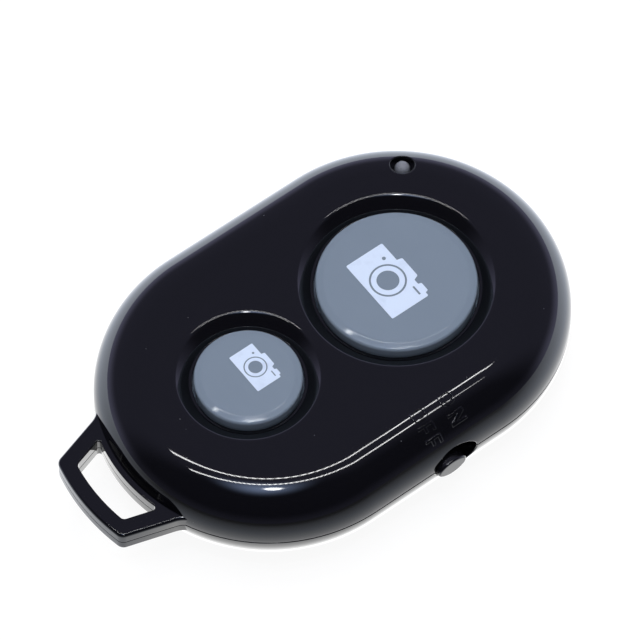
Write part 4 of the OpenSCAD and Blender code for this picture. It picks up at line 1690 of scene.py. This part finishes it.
@dataclass(frozen=True)
class BatteryDoor:
    """The round door in the underside, with its nail notch and the rim that plugs into the opening."""

    shell: LowerShell
    play: float = 0.15
    edge: float = 0.12
    thickness: float = 1.0
    plug_top: float = 1.45
    plug_wall: float = 0.8
    rim_top: float = 0.95
    middle_radius: float = 8.0
    # Circles of extra points that keep the face's triangles even near its edge
    seed_radii: tuple[float, ...] = (10.55, 10.0, 9.2)

    def build(self) -> None:
        """Build and dress the battery door."""
        mould = Mould()
        skin, _ = self.shell.skins(Half.LOWER, notched=True)
        radius = self.shell.door_radius - self.play
        loop = skin.unroll(ring_of(radius, self.shell.door_steps))
        seeds = np.concatenate([*(ring_of(r, 120) for r in self.seed_radii), NAIL_NOTCH.seeds()])
        (ring,) = mould.sheet(skin, grown(loop, -self.edge), (), seeds, self.shell.notch_gap)
        corner = skin.lift(loop)
        row = mould.follow(ring, rounded(
            skin.lift(grown(loop, -self.edge)), corner, corner + (0, 0, self.edge), 5))
        plug = self.shell.bore_radius - self.play
        profile = softened(
            [(radius, self.rim_top), (radius, self.thickness), (plug, self.thickness), (plug, self.plug_top),
             (plug - self.plug_wall, self.plug_top), (plug - self.plug_wall, self.thickness),
             (self.middle_radius, self.thickness)],
            [0.0, 0.04, 0.05, 0.1, 0.1, 0.05, 0.0], 3, closed=False)
        row = mould.follow(row, [Level(z).lift(ring_of(r, self.shell.door_steps)) for r, z in profile])
        mould.cap(row)
        settle(mould.piece("battery_lid", HOUSING_BLACK), Body.DOOR, Slot.HOUSING, "battery_door")


# Buttons, switch and light


@dataclass(frozen=True)
class ShutterButton:
    """A round shutter button with its flange, post and webs."""

    name: str
    node: str
    body: Body
    along: float
    radius: float
    picture_size: float
    picture_place: tuple[float, float]
    top: float = 10.35
    bevel: float = 0.72
    bevel_drop: float = 0.2
    face: float = 1.0
    skirt: float = 0.95
    flange_margin: float = 0.75
    flange_bottom: float = 7.55
    flange_top: float = 8.2
    post_radius: float = 1.8
    post_bottom: float = 7.4
    web: float = 0.6
    web_bite: float = 0.1
    web_overlap: float = 0.15
    ink: float = 0.012
    ink_root: float = 0.02

    def build(self) -> None:
        """Build and dress the button and its pictogram."""
        mould = Mould()
        core = self.radius - self.skirt
        core_top = self.top - self.face
        flange = self.radius + self.flange_margin
        profile = softened(
            [(0, self.post_bottom), (self.post_radius, self.post_bottom), (self.post_radius, core_top),
             (core, core_top), (core, self.flange_bottom), (flange, self.flange_bottom),
             (flange, self.flange_top), (self.radius, self.flange_top),
             (self.radius, self.top - self.bevel_drop), (self.radius - self.bevel, self.top), (0, self.top)],
            [0, 0.12, 0.15, 0.2, 0.08, 0.08, 0.08, 0.05, 0.22, 0.12, 0], 7, closed=False)
        mould.turned(profile, (0.0, self.along), 160)
        for turn in (0, 90):
            self._web(mould, core + self.web_bite, turn, core_top + self.web_overlap)
        settle(mould.piece(self.name, BUTTON_GREY), self.body, Slot.BUTTON, self.node)
        self._picture()

    def _web(self, mould: Mould, reach: float, turn: float, top: float) -> None:
        """Add one of the two webs that cross under the face.

        Args:
            mould: The button's mesh.
            reach: Distance from the middle to the web's ends.
            turn: The web's direction in degrees.
            top: Height of its upper face.
        """
        half = self.web / 2
        loop = softened([(-reach, -half), (reach, -half), (reach, half), (-reach, half)], [0.1] * 4, 3)
        cos, sin = math.cos(math.radians(turn)), math.sin(math.radians(turn))
        loop = loop @ np.array([[cos, sin], [-sin, cos]]) + (0, self.along)
        low = mould.add(Level(self.flange_top).lift(loop))
        mould.cap(low)
        mould.cap(mould.follow(low, [Level(top).lift(loop)]))

    def _picture(self) -> None:
        """Lay the plain camera pictogram on the face, in ink."""
        mould = Mould()
        size = self.picture_size
        body = softened(
            [(-0.5, -0.3), (0.5, -0.3), (0.5, 0.29), (0.44, 0.29), (0.43, 0.335), (0.29, 0.335), (0.28, 0.29),
             (0.2, 0.29), (0.17, 0.365), (-0.16, 0.365), (-0.18, 0.29), (-0.5, 0.29)],
            [0.02, 0.02, 0.02, 0.008, 0.012, 0.012, 0.008, 0.008, 0.015, 0.015, 0.008, 0.02], 4)
        lens = (0.0, 0.008)
        shapes = [
            (body, [ring_of(0.249, 64, lens), ring_of(0.027, 24, (-0.3, 0.17)),
                    softened([(0.27, 0.2), (0.42, 0.2), (0.42, 0.228), (0.27, 0.228)], [0.008] * 4, 2)]),
            (ring_of(0.222, 64, lens), [ring_of(0.15, 64, lens)]),
        ]
        place = np.array([self.picture_place[0], self.along + self.picture_place[1]])
        for outline, holes in shapes:
            loops = [loop * size + place for loop in (outline, *holes)]
            upper = mould.sheet(Level(self.top + self.ink), loops[0], loops[1:])
            lower = mould.sheet(Level(self.top - self.ink_root), loops[0], loops[1:])
            for above, below in zip(upper, lower):
                mould.bridge(above, below)
        settle(mould.piece(f"{self.name}_pictogram", BUTTON_INK), self.body, Slot.BUTTON)


@dataclass(frozen=True)
class PowerKnob:
    """The oval knob of the power switch and the plate behind its slot."""

    rest: float = 1.0
    height: float = 5.65
    face: float = 16.5
    back: float = 13.35
    length: float = 3.1
    oval_height: float = 2.1
    end_radius: float = 0.75
    edge: float = 0.2
    plate_length: float = 6.6
    plate_height: float = 3.9
    plate_thickness: float = 0.6
    plate_corner: float = 0.5
    plate_edge: float = 0.08
    overlap: float = 0.1

    def _at(self, loop: Array, out: float) -> Array:
        """Stand a loop upright at a distance out of the housing's middle."""
        return np.stack([np.full(len(loop), out), loop[:, 0] + self.rest, loop[:, 1] + self.height], 1)

    def build(self) -> None:
        """Build and dress the knob."""
        mould = Mould()
        loop = oval(self.length, self.oval_height, self.end_radius, 12, 14)
        small = grown(loop, -self.edge)
        start = mould.add(self._at(loop, self.back + self.overlap))
        mould.cap(start)
        row = mould.follow(start, [self._at(loop, self.face - self.edge)])
        row = mould.follow(row, rounded(
            self._at(loop, self.face - self.edge), self._at(loop, self.face), self._at(small, self.face), 7))
        mould.cap(row)
        half = np.array([self.plate_length, self.plate_height]) / 2
        plate = softened([-half, half * (1, -1), half, half * (-1, 1)], [self.plate_corner] * 4, 5)
        face, edge = grown(plate, -self.plate_edge), self.plate_edge
        back, front = self.back, self.back + self.plate_thickness
        start = mould.add(self._at(face, back))
        mould.cap(start)
        row = mould.follow(start, rounded(
            self._at(face, back), self._at(plate, back), self._at(plate, back + edge), 3))
        row = mould.follow(row, [self._at(plate, front - edge)])
        row = mould.follow(row, rounded(
            self._at(plate, front - edge), self._at(plate, front), self._at(face, front), 3))
        mould.cap(row)
        settle(mould.piece("switch_knob", KNOB_BLACK), Body.POWER_SLIDER, Slot.KNOB, "power_knob")


@dataclass(frozen=True)
class LightGuide:
    """The domed clear rod that carries the status lamp's light to the top."""

    place: tuple[float, float]
    radius: float = 0.72
    tip: float = 10.0
    collar_radius: float = 1.2
    collar: tuple[float, float] = (6.55, 7.5)

    def build(self) -> None:
        """Build and dress the light guide."""
        mould = Mould()
        low, high = self.collar
        body = softened(
            [(0, low), (self.collar_radius, low), (self.collar_radius, high), (self.radius, high),
             (self.radius, self.tip - self.radius)], [0, 0.08, 0.08, 0.04, 0], 3, closed=False)
        turn = np.radians(np.linspace(0, 88, 20))[1:]
        dome = np.stack([self.radius * np.cos(turn), self.tip - self.radius * (1 - np.sin(turn))], 1)
        mould.turned(np.concatenate([body, dome, [(0, self.tip)]]), self.place, 64)
        settle(mould.piece("light_rod", GUIDE_CLEAR), Body.HANDSET, Slot.CLEAR, "light_guide")


# Repeated pieces


@dataclass(frozen=True)
class Row:
    """A row of equal pieces, set out by Geometry Nodes."""

    name: str
    count: int
    first: tuple[float, float, float]
    step: tuple[float, float, float]
    spread: float = 0.0
    seed: int = 3

    @staticmethod
    def _tree() -> bpy.types.NodeTree:
        """Build the tree that sets pieces along a line, each turned a little at random.

        Returns:
            The tree.
        """
        tree = bpy.data.node_groups.new("row_of_pieces", "GeometryNodeTree")
        face = tree.interface
        face.new_socket("Geometry", in_out="OUTPUT", socket_type="NodeSocketGeometry")
        kinds = {"Piece": "Object", "Count": "Int", "First": "Vector", "Step": "Vector", "Spread": "Float",
                 "Seed": "Int", "Finish": "Material"}
        for label, kind in kinds.items():
            face.new_socket(label, in_out="INPUT", socket_type=f"NodeSocket{kind}")
        add = partial(add_node, tree)
        given = add("NodeGroupInput").outputs
        line = add("GeometryNodeMeshLine", {
            "Count": given["Count"], "Start Location": given["First"], "Offset": given["Step"]},
            mode="OFFSET")
        piece = add("GeometryNodeObjectInfo", {"Object": given["Piece"]})
        low = add("ShaderNodeMath", {0: given["Spread"], 1: -1.0}, operation="MULTIPLY")
        turn = add("FunctionNodeRandomValue", {
            "Min": low.outputs[0], "Max": given["Spread"], "Seed": given["Seed"]}, data_type="FLOAT")
        axis = add("ShaderNodeCombineXYZ", {"Z": turn.outputs["Value"]})
        copies = add("GeometryNodeInstanceOnPoints", {
            "Points": line.outputs["Mesh"], "Instance": piece.outputs["Geometry"],
            "Rotation": axis.outputs[0]})
        real = add("GeometryNodeRealizeInstances", {"Geometry": copies.outputs["Instances"]})
        finish = add("GeometryNodeSetMaterial", {
            "Geometry": real.outputs["Geometry"], "Material": given["Finish"]})
        add("NodeGroupOutput", {"Geometry": finish.outputs["Geometry"]})
        return tree

    def lay(self, piece: bpy.types.Object, finish: Finish) -> bpy.types.Object:
        """Set out the row.

        Args:
            piece: The piece to repeat.
            finish: What the row is made of.

        Returns:
            One object that holds the whole row as a plain mesh.
        """
        tree = bpy.data.node_groups.get("row_of_pieces") or self._tree()
        carrier = placed(f"{self.name}_row", bpy.data.meshes.new(f"{self.name}_row"))
        modifier = carrier.modifiers.new("row", "NODES")
        modifier.node_group = tree
        values = {
            "Piece": piece, "Count": self.count, "First": [v * MM for v in self.first],
            "Step": [v * MM for v in self.step], "Spread": self.spread, "Seed": self.seed,
            "Finish": dressed(finish),
        }
        for socket in tree.interface.items_tree:
            if getattr(socket, "in_out", "") == "INPUT":
                modifier[socket.identifier] = values[socket.name]
        bpy.context.view_layer.update()
        seen = carrier.evaluated_get(bpy.context.evaluated_depsgraph_get())
        mesh = bpy.data.meshes.new_from_object(seen)
        mesh.name = self.name
        made = placed(self.name, mesh)
        bpy.data.objects.remove(carrier)
        return made


@dataclass(frozen=True)
class CaseScrews:
    """The two case screws, with a cross recess in each head."""

    offset: float
    head_radius: float = 1.55
    head: tuple[float, float] = (0.45, 1.45)
    shank_radius: float = 0.95
    tip: float = 7.65
    arm: float = 0.95
    arm_width: float = 0.5
    recess: float = 0.6
    recess_edge: float = 0.05
    recess_taper_share: float = 0.62
    rim: float = 0.25
    rim_rise: float = 0.12
    point: float = 0.5
    point_radius: float = 0.3

    def _one(self) -> bpy.types.Object:
        """Make one screw on the upright axis.

        Returns:
            The screw's object.
        """
        mould = Mould()
        low, high = self.head
        long, wide = self.arm, self.arm_width / 2
        cross = softened(
            [(long, -wide), (long, wide), (wide, wide), (wide, long), (-wide, long), (-wide, wide),
             (-long, wide), (-long, -wide), (-wide, -wide), (-wide, -long), (wide, -long), (wide, -wide)],
            [0.12, 0.12, 0.08] * 4, 3)
        rim, hole = mould.sheet(Level(low), ring_of(self.head_radius - self.rim, 64), [cross])
        row = mould.follow(hole, [
            Level(low + self.recess_edge).lift(grown(cross, -0.02)),
            Level(low + self.recess).lift(cross * self.recess_taper_share)])
        mould.cap(row)
        profile = softened(
            [(self.head_radius - self.rim, low), (self.head_radius, low + self.rim_rise),
             (self.head_radius, high), (self.shank_radius, high), (self.shank_radius, self.tip - self.point),
             (self.point_radius, self.tip)],
            [0, 0.08, 0.04, 0.04, 0.1, 0], 4, closed=False)
        row = mould.follow(rim, [Level(z).lift(ring_of(r, 64)) for r, z in profile[1:]])
        mould.cap(row)
        return mould.piece("screw_pattern", SCREW_ZINC)

    def build(self) -> None:
        """Build and dress both screws."""
        pattern = self._one()
        row = Row("case_screw_pair", 2, (0, -self.offset, 0), (0, 2 * self.offset, 0), spread=0.7, seed=5)
        made = row.lay(pattern, SCREW_ZINC)
        bpy.data.objects.remove(pattern)
        settle(made, Body.HANDSET, Slot.SCREW, "case_screws")


@dataclass(frozen=True)
class BoardChips:
    """The rows of resistors and capacitors on the board, each a ceramic body between two tinned ends."""

    length: float = 1.6
    width: float = 0.8
    height: float = 0.5
    board: float = 5.9
    pitch: float = 1.5
    edge: float = 0.07
    cap: float = 0.35
    cap_overlap: float = 0.1
    body_inset: float = 0.02
    starts: tuple[tuple[float, float], ...] = ((-2.7, -2.6), (2.7, -2.6), (-11.2, 6.0))

    def _block(self, name: str, span: tuple[float, float], grow: float, finish: Finish) -> bpy.types.Object:
        """Make one rounded block, or two that mirror each other when it starts off the middle.

        Args:
            name: The object's name.
            span: Where the block starts and ends along its row.
            grow: How far it stands out over the chip's sides and top.
            finish: What it is made of.

        Returns:
            The object.
        """
        mould = Mould()
        spans = [span] if span[0] < 0 else [span, (-span[1], -span[0])]
        for low, high in spans:
            half = self.width / 2 + grow
            loop = softened([(low, -half), (high, -half), (high, half), (low, half)], [self.edge] * 4, 3)
            top = self.height + grow
            start = mould.add(Level(0.0).lift(loop))
            mould.cap(start)
            side_top = Level(top - self.edge).lift(loop)
            row = mould.follow(start, [side_top])
            row = mould.follow(row, rounded(
                side_top, Level(top).lift(loop), Level(top).lift(grown(loop, -self.edge)), 3))
            mould.cap(row)
        return mould.piece(name, finish)

    def build(self) -> None:
        """Build and dress all rows."""
        half = self.length / 2
        reach = half - self.cap + self.cap_overlap
        body = self._block("chip_body", (-reach, reach), -self.body_inset, TAN_CERAMIC)
        ends = self._block("chip_ends", (half - self.cap, half), 0.0, SWITCH_TIN)
        for pattern, finish, label in ((body, TAN_CERAMIC, "ceramics"), (ends, SWITCH_TIN, "ends")):
            for number, (x, y) in enumerate(self.starts):
                row = Row(f"board_{label}_{number + 1}", 3, (x, y, self.board), (0, self.pitch, 0))
                settle(row.lay(pattern, finish), Body.HANDSET, Slot.PALE, "small_parts")
            bpy.data.objects.remove(pattern)


def dress_board(nodes: dict[str, bpy.types.Object]) -> None:
    """Give the CAD nodes that stay their finishes.

    Args:
        nodes: The frame's nodes by name.
    """
    finishes: dict[Finish, tuple[str, ...]] = {
        BOARD_GREEN: ("circuit_board",),
        CELL_NICKEL: ("cell_can", "cell_cap"),
        CONTACT_GOLD: ("negative_contact", "positive_contact"),
        DARK_COMPOUND: (
            "cell_gasket", "large_tact_base", "small_tact_base", "slide_switch_base", "slide_switch_lever"),
        SWITCH_TIN: ("large_tact_cover", "small_tact_cover", "slide_switch_frame", "crystal"),
        PALE_COMPOUND: ("large_tact_plunger", "small_tact_plunger", "status_lamp"),
        CHIP_EPOXY: ("radio_chip", "memory_chip"),
        ANTENNA_COPPER: ("antenna",),
    }
    for name, finish in ((name, finish) for finish, names in finishes.items() for name in names):
        piece = nodes[name]
        if not piece.material_slots:
            piece.data.materials.append(dressed(finish))
        for slot in piece.material_slots:
            slot.material = dressed(finish)
        log.info("%s: dressed as %s", name, dressed(finish).name)


# Studio


@dataclass(frozen=True)
class Lamp:
    """A lamp over the table: a strip of small diodes, or a round lamp with a soft edge."""

    name: str
    start: tuple[float, float]
    stop: tuple[float, float]
    height: float
    width: float
    radiance: float
    diodes: float = 0.0
    fading: float = 0.0
    colour: str = "#ffffff"
    # How dark and bright a strip is between and on its diodes, and a round lamp's root of its peak
    contrast: tuple[float, float] = (0.1, 1.9)
    peak_root: float = 3.0

    def build(self) -> bpy.types.Object:
        """Hang the lamp between two places, given as shares of its height.

        Returns:
            The lamp's object.
        """
        first, last = (Vector((*p, 1.0)) * self.height for p in (self.start, self.stop))
        length = max((last - first).length, self.width)
        strip = length > self.width
        data = bpy.data.lights.new(self.name, "AREA")
        data.shape = "RECTANGLE" if strip else "DISK"
        data.size = length
        data.size_y = self.width
        area = length * self.width if strip else math.pi / 4 * self.width**2
        data.energy = self.radiance * math.pi * area
        data.color = linear(self.colour)[:3]
        data.use_nodes = True
        tree = data.node_tree
        glow = next(n for n in tree.nodes if n.type == "EMISSION")
        add = partial(add_node, tree)
        place = add("ShaderNodeNewGeometry").outputs["Parametric"]
        along = add("ShaderNodeSeparateXYZ", {"Vector": place}).outputs["X"]
        if strip:
            turns = 2 * math.pi * self.diodes * length
            phase = add("ShaderNodeMath", {0: along, 1: turns}, operation="MULTIPLY")
            wave = add("ShaderNodeMath", {0: phase.outputs[0]}, operation="SINE")
            level = add("ShaderNodeMapRange", stretched(wave.outputs[0], (-1.0, 1.0), self.contrast))
            if self.fading:
                end = add("ShaderNodeMapRange", stretched(along, (1 - self.fading, 1.0), (1.0, 0.0)))
                level = add("ShaderNodeMath", {0: level.outputs[0], 1: end.outputs[0]}, operation="MULTIPLY")
        else:
            centred = add("ShaderNodeVectorMath", {0: place, 1: (0.5, 0.5, 0.0)}, operation="SUBTRACT")
            far = add("ShaderNodeVectorMath", {0: centred.outputs[0]}, operation="LENGTH")
            root = add(
                "ShaderNodeMapRange", stretched(far.outputs["Value"], (0.0, 0.5), (self.peak_root, 0.0)),
                interpolation_type="SMOOTHSTEP")
            level = add("ShaderNodeMath", {0: root.outputs[0], 1: 2.0}, operation="POWER")
        feed(tree, glow, {"Strength": level.outputs[0]})
        lamp = placed(self.name, data)
        middle = (first + last) / 2
        back = middle.normalized()
        along_axis = (last - first).normalized() if strip else back.orthogonal().normalized()
        across = back.cross(along_axis).normalized()
        matrix = Matrix((along_axis, across, along_axis.cross(across).normalized())).transposed().to_4x4()
        matrix.translation = middle
        lamp.matrix_world = matrix
        return lamp


@dataclass(frozen=True)
class Studio:
    """The floor, the lights, the surroundings and the camera."""

    azimuth: float = 53.0
    elevation: float = 59.0
    distance: float = 0.514
    look_at: tuple[float, float, float] = (-0.00573, 0.00278, 0.0)
    lens: float = 312.98
    ambient: float = 0.55
    floor_half: float = 2.0
    # Painted glow of the table in mirrors: how bright it is round the object and behind it, and how it falls
    # off on the side of the camera
    mirror_glow_near: float = 2.5
    mirror_glow_back: float = 1.95
    fall_off: float = 0.0053
    end_of_set: tuple[float, float] = (0.03, 0.12)
    front_span: tuple[float, float] = (-0.5, 0.7)
    # The table's white to the camera, its matt grey under the lamps, and the cool tint of its painted glow in
    # mirrors
    floor_white: float = 0.91
    floor_grey: str = "#626262"
    tint: str = "#e6efff"
    tint_span: tuple[float, float] = (0.002, 0.014)
    # How far the floor lies under the resting face, so that the two don't share a plane
    floor_drop: float = 0.00002
    # The housing's outline on the floor: half its width, and its rounded ends' distance from the middle
    pill_radius: float = 0.016
    pill_end: float = 0.00725
    # The room in gloss: its level behind the object and on the camera's side, and how it brightens low down
    room_span: tuple[float, float] = (-0.15, 0.3)
    room_levels: tuple[float, float] = (0.25, 0.05)
    low_span: tuple[float, float] = (0.0, 0.35)
    low_level: float = 3.6

    def build(self) -> None:
        """Build the whole studio."""
        self._floor()
        self._world()
        # Two strips of diodes overhead, hung by where the housing's shoulder mirrors them
        diodes = {"height": 1.5, "width": 0.05, "radiance": 14.0, "diodes": 31.0}
        Lamp("strip_far", (-0.345, -0.29), (0.014, 0.402), **diodes).build()
        Lamp("strip_near", (-0.176, -0.418), (0.265, 0.356), **diodes, fading=0.012).build()
        # A round lamp with its glow, mirrored low on the near shoulder
        Lamp("round_lamp", (0.19, -0.13), (0.19, -0.13), height=1.5, width=0.22, radiance=11.0).build()
        Lamp("round_glow", (0.16, -0.17), (0.15, -0.18), height=1.6, width=1.3, radiance=0.45,
             colour="#b0c6f2").build()
        # Soft light from above that only matt faces take up
        fill = Lamp("top_fill", (-0.4, 0.3), (-0.4, 0.3), height=0.8, width=0.8, radiance=1.0).build()
        fill.visible_glossy = False
        self._camera()

    def _side(self) -> Vector:
        """Give the level direction from the object towards the camera's side of the table."""
        azimuth = math.radians(self.azimuth)
        return Vector((math.sin(azimuth), -math.cos(azimuth), 0.0))

    def _floor(self) -> None:
        """Lay the pale floor, which is white to the camera, shows a painted glow in mirrors that is brightest
        round the housing, and keeps the shadow.
        """
        mesh = bpy.data.meshes.new("floor")
        half = self.floor_half
        corners = [(-half, -half, 0), (half, -half, 0), (half, half, 0), (-half, half, 0)]
        mesh.from_pydata(corners, [], [(0, 1, 2, 3)])
        floor = placed("floor", mesh)
        floor.location.z = -self.floor_drop
        material = bpy.data.materials.new("matt_white_table_painted_glow")
        material.use_nodes = True
        tree = material.node_tree
        tree.nodes.clear()
        add = partial(add_node, tree)
        path = add("ShaderNodeLightPath").outputs
        place = add("ShaderNodeTexCoord").outputs["Object"]
        way = add("ShaderNodeVectorMath", {0: place}, operation="NORMALIZE")
        ahead = add("ShaderNodeVectorMath", {0: way.outputs[0], 1: self._side()}, operation="DOT_PRODUCT")
        front = add(
            "ShaderNodeMapRange", stretched(ahead.outputs["Value"], self.front_span),
            interpolation_type="SMOOTHSTEP")
        # Distance from the housing's outline
        folded = add("ShaderNodeVectorMath", {0: place}, operation="ABSOLUTE")
        moved = add("ShaderNodeVectorMath", {
            0: folded.outputs[0], 1: (0.0, self.pill_end, 0.0)}, operation="SUBTRACT")
        beyond = add("ShaderNodeVectorMath", {0: moved.outputs[0], 1: (0.0, 0.0, 0.0)}, operation="MAXIMUM")
        far = add("ShaderNodeVectorMath", {0: beyond.outputs[0]}, operation="LENGTH")
        out = add("ShaderNodeMath", {0: far.outputs["Value"], 1: self.pill_radius}, operation="SUBTRACT")
        gone = add("ShaderNodeMath", {0: out.outputs[0], 1: 0.0}, operation="MAXIMUM").outputs[0]
        # Painted glow of the table in mirrors, brightest next to the housing's outline
        reach = add("ShaderNodeMath", {0: gone, 1: self.fall_off}, operation="ADD")
        glow = add("ShaderNodeMath", {
            0: self.mirror_glow_near * self.fall_off, 1: reach.outputs[0]}, operation="DIVIDE")
        end = add(
            "ShaderNodeMapRange", stretched(gone, self.end_of_set, (1.0, 0.0)),
            interpolation_type="SMOOTHSTEP")
        faded = add("ShaderNodeMath", {0: glow.outputs[0], 1: end.outputs[0]}, operation="MULTIPLY")
        # Painted glow in mirrors: one level behind the object, falling off with distance on the camera's side
        painted_mirror_glow = add("ShaderNodeMix", {
            "Factor": front.outputs[0], "A": self.mirror_glow_back, "B": faded.outputs[0]}, data_type="FLOAT")
        by_mirror = add("ShaderNodeMath", {
            0: path["Is Glossy Ray"], 1: path["Is Transmission Ray"]}, operation="MAXIMUM").outputs[0]
        reflected = add("ShaderNodeMath", {0: by_mirror, 1: painted_mirror_glow.outputs[0]}, operation="MULTIPLY")
        strength = add("ShaderNodeMath", {
            0: path["Is Camera Ray"], 1: self.floor_white, 2: reflected.outputs[0]}, operation="MULTIPLY_ADD")
        cool = add("ShaderNodeMapRange", stretched(gone, self.tint_span, (0.0, by_mirror)))
        tint = add("ShaderNodeMix", {
            "Factor": cool.outputs[0], "A": linear("#ffffff"), "B": linear(self.tint)}, data_type="RGBA")
        matt = add("ShaderNodeBsdfDiffuse", {"Color": linear(self.floor_grey)})
        shine = add("ShaderNodeEmission", {"Color": tint.outputs["Result"], "Strength": strength.outputs[0]})
        both = add("ShaderNodeAddShader", {0: matt.outputs[0], 1: shine.outputs[0]})
        add("ShaderNodeOutputMaterial", {"Surface": both.outputs[0]})
        mesh.materials.append(material)

    def _world(self) -> None:
        """Surround the set: white to the camera, soft for matt surfaces, a dim blue room in gloss."""
        world = bpy.data.worlds.new("studio")
        bpy.context.scene.world = world
        world.use_nodes = True
        tree = world.node_tree
        tree.nodes.clear()
        add = partial(add_node, tree)
        path = add("ShaderNodeLightPath").outputs
        way = add("ShaderNodeTexCoord").outputs["Generated"]
        ahead = add("ShaderNodeVectorMath", {0: way, 1: self._side()}, operation="DOT_PRODUCT")
        room = add(
            "ShaderNodeMapRange", stretched(ahead.outputs["Value"], self.room_span, self.room_levels),
            interpolation_type="SMOOTHSTEP")
        height = add("ShaderNodeSeparateXYZ", {"Vector": way}).outputs["Z"]
        low = add(
            "ShaderNodeMapRange", stretched(height, self.low_span, (self.low_level, 1.0)),
            interpolation_type="SMOOTHSTEP")
        level = add("ShaderNodeMath", {0: room.outputs[0], 1: low.outputs[0]}, operation="MULTIPLY")
        by_mirror = add("ShaderNodeMath", {
            0: path["Is Glossy Ray"], 1: path["Is Transmission Ray"]}, operation="MAXIMUM")
        soft = add("ShaderNodeBackground", {"Color": linear("#fbfcff"), "Strength": self.ambient})
        dim = add("ShaderNodeBackground", {"Color": linear("#d5d5ff"), "Strength": level.outputs[0]})
        white = add("ShaderNodeBackground", {"Color": linear("#ffffff"), "Strength": 1.0})
        seen = add("ShaderNodeMixShader", {
            0: by_mirror.outputs[0], 1: soft.outputs[0], 2: dim.outputs[0]})
        final = add("ShaderNodeMixShader", {
            0: path["Is Camera Ray"], 1: seen.outputs[0], 2: white.outputs[0]})
        add("ShaderNodeOutputWorld", {"Surface": final.outputs[0]})

    def _camera(self) -> None:
        """Set the camera at the photograph's angle."""
        elevation = math.radians(self.elevation)
        back = self._side() * math.cos(elevation) + Vector((0.0, 0.0, math.sin(elevation)))
        data = bpy.data.cameras.new("camera")
        data.sensor_width = 36.0
        data.lens = self.lens
        data.clip_start = 0.01
        camera = placed("camera", data)
        camera.location = Vector(self.look_at) + back * self.distance
        camera.rotation_euler = back.to_track_quat("Z", "Y").to_euler()
        bpy.context.scene.camera = camera
        bpy.context.scene.view_settings.view_transform = "Standard"


def main() -> None:
    """Build the remote and the studio in order."""
    logging.basicConfig(level=logging.INFO, format="%(name)s: %(message)s")
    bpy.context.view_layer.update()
    upper = UpperShell()
    lower = LowerShell()
    upper.build()
    lower.build()
    SwitchWords().build(upper.skins(Half.UPPER)[0])
    BatteryDoor(lower).build()
    CaseScrews(upper.screw_offset).build()
    large, small = upper.large_well, upper.small_well
    ShutterButton(
        "large_shutter_button", "large_button", Body.LARGE_PRESS, large.along, large.button_radius,
        picture_size=6.95, picture_place=(-0.4, -0.73)).build()
    ShutterButton(
        "small_shutter_button", "small_button", Body.SMALL_PRESS, small.along, small.button_radius,
        picture_size=4.35, picture_place=(-0.32, 1.02)).build()
    PowerKnob().build()
    LightGuide(upper.light).build()
    BoardChips().build()
    dress_board(frame["nodes"])
    Studio().build()


if __name__ == "__main__":
    main()
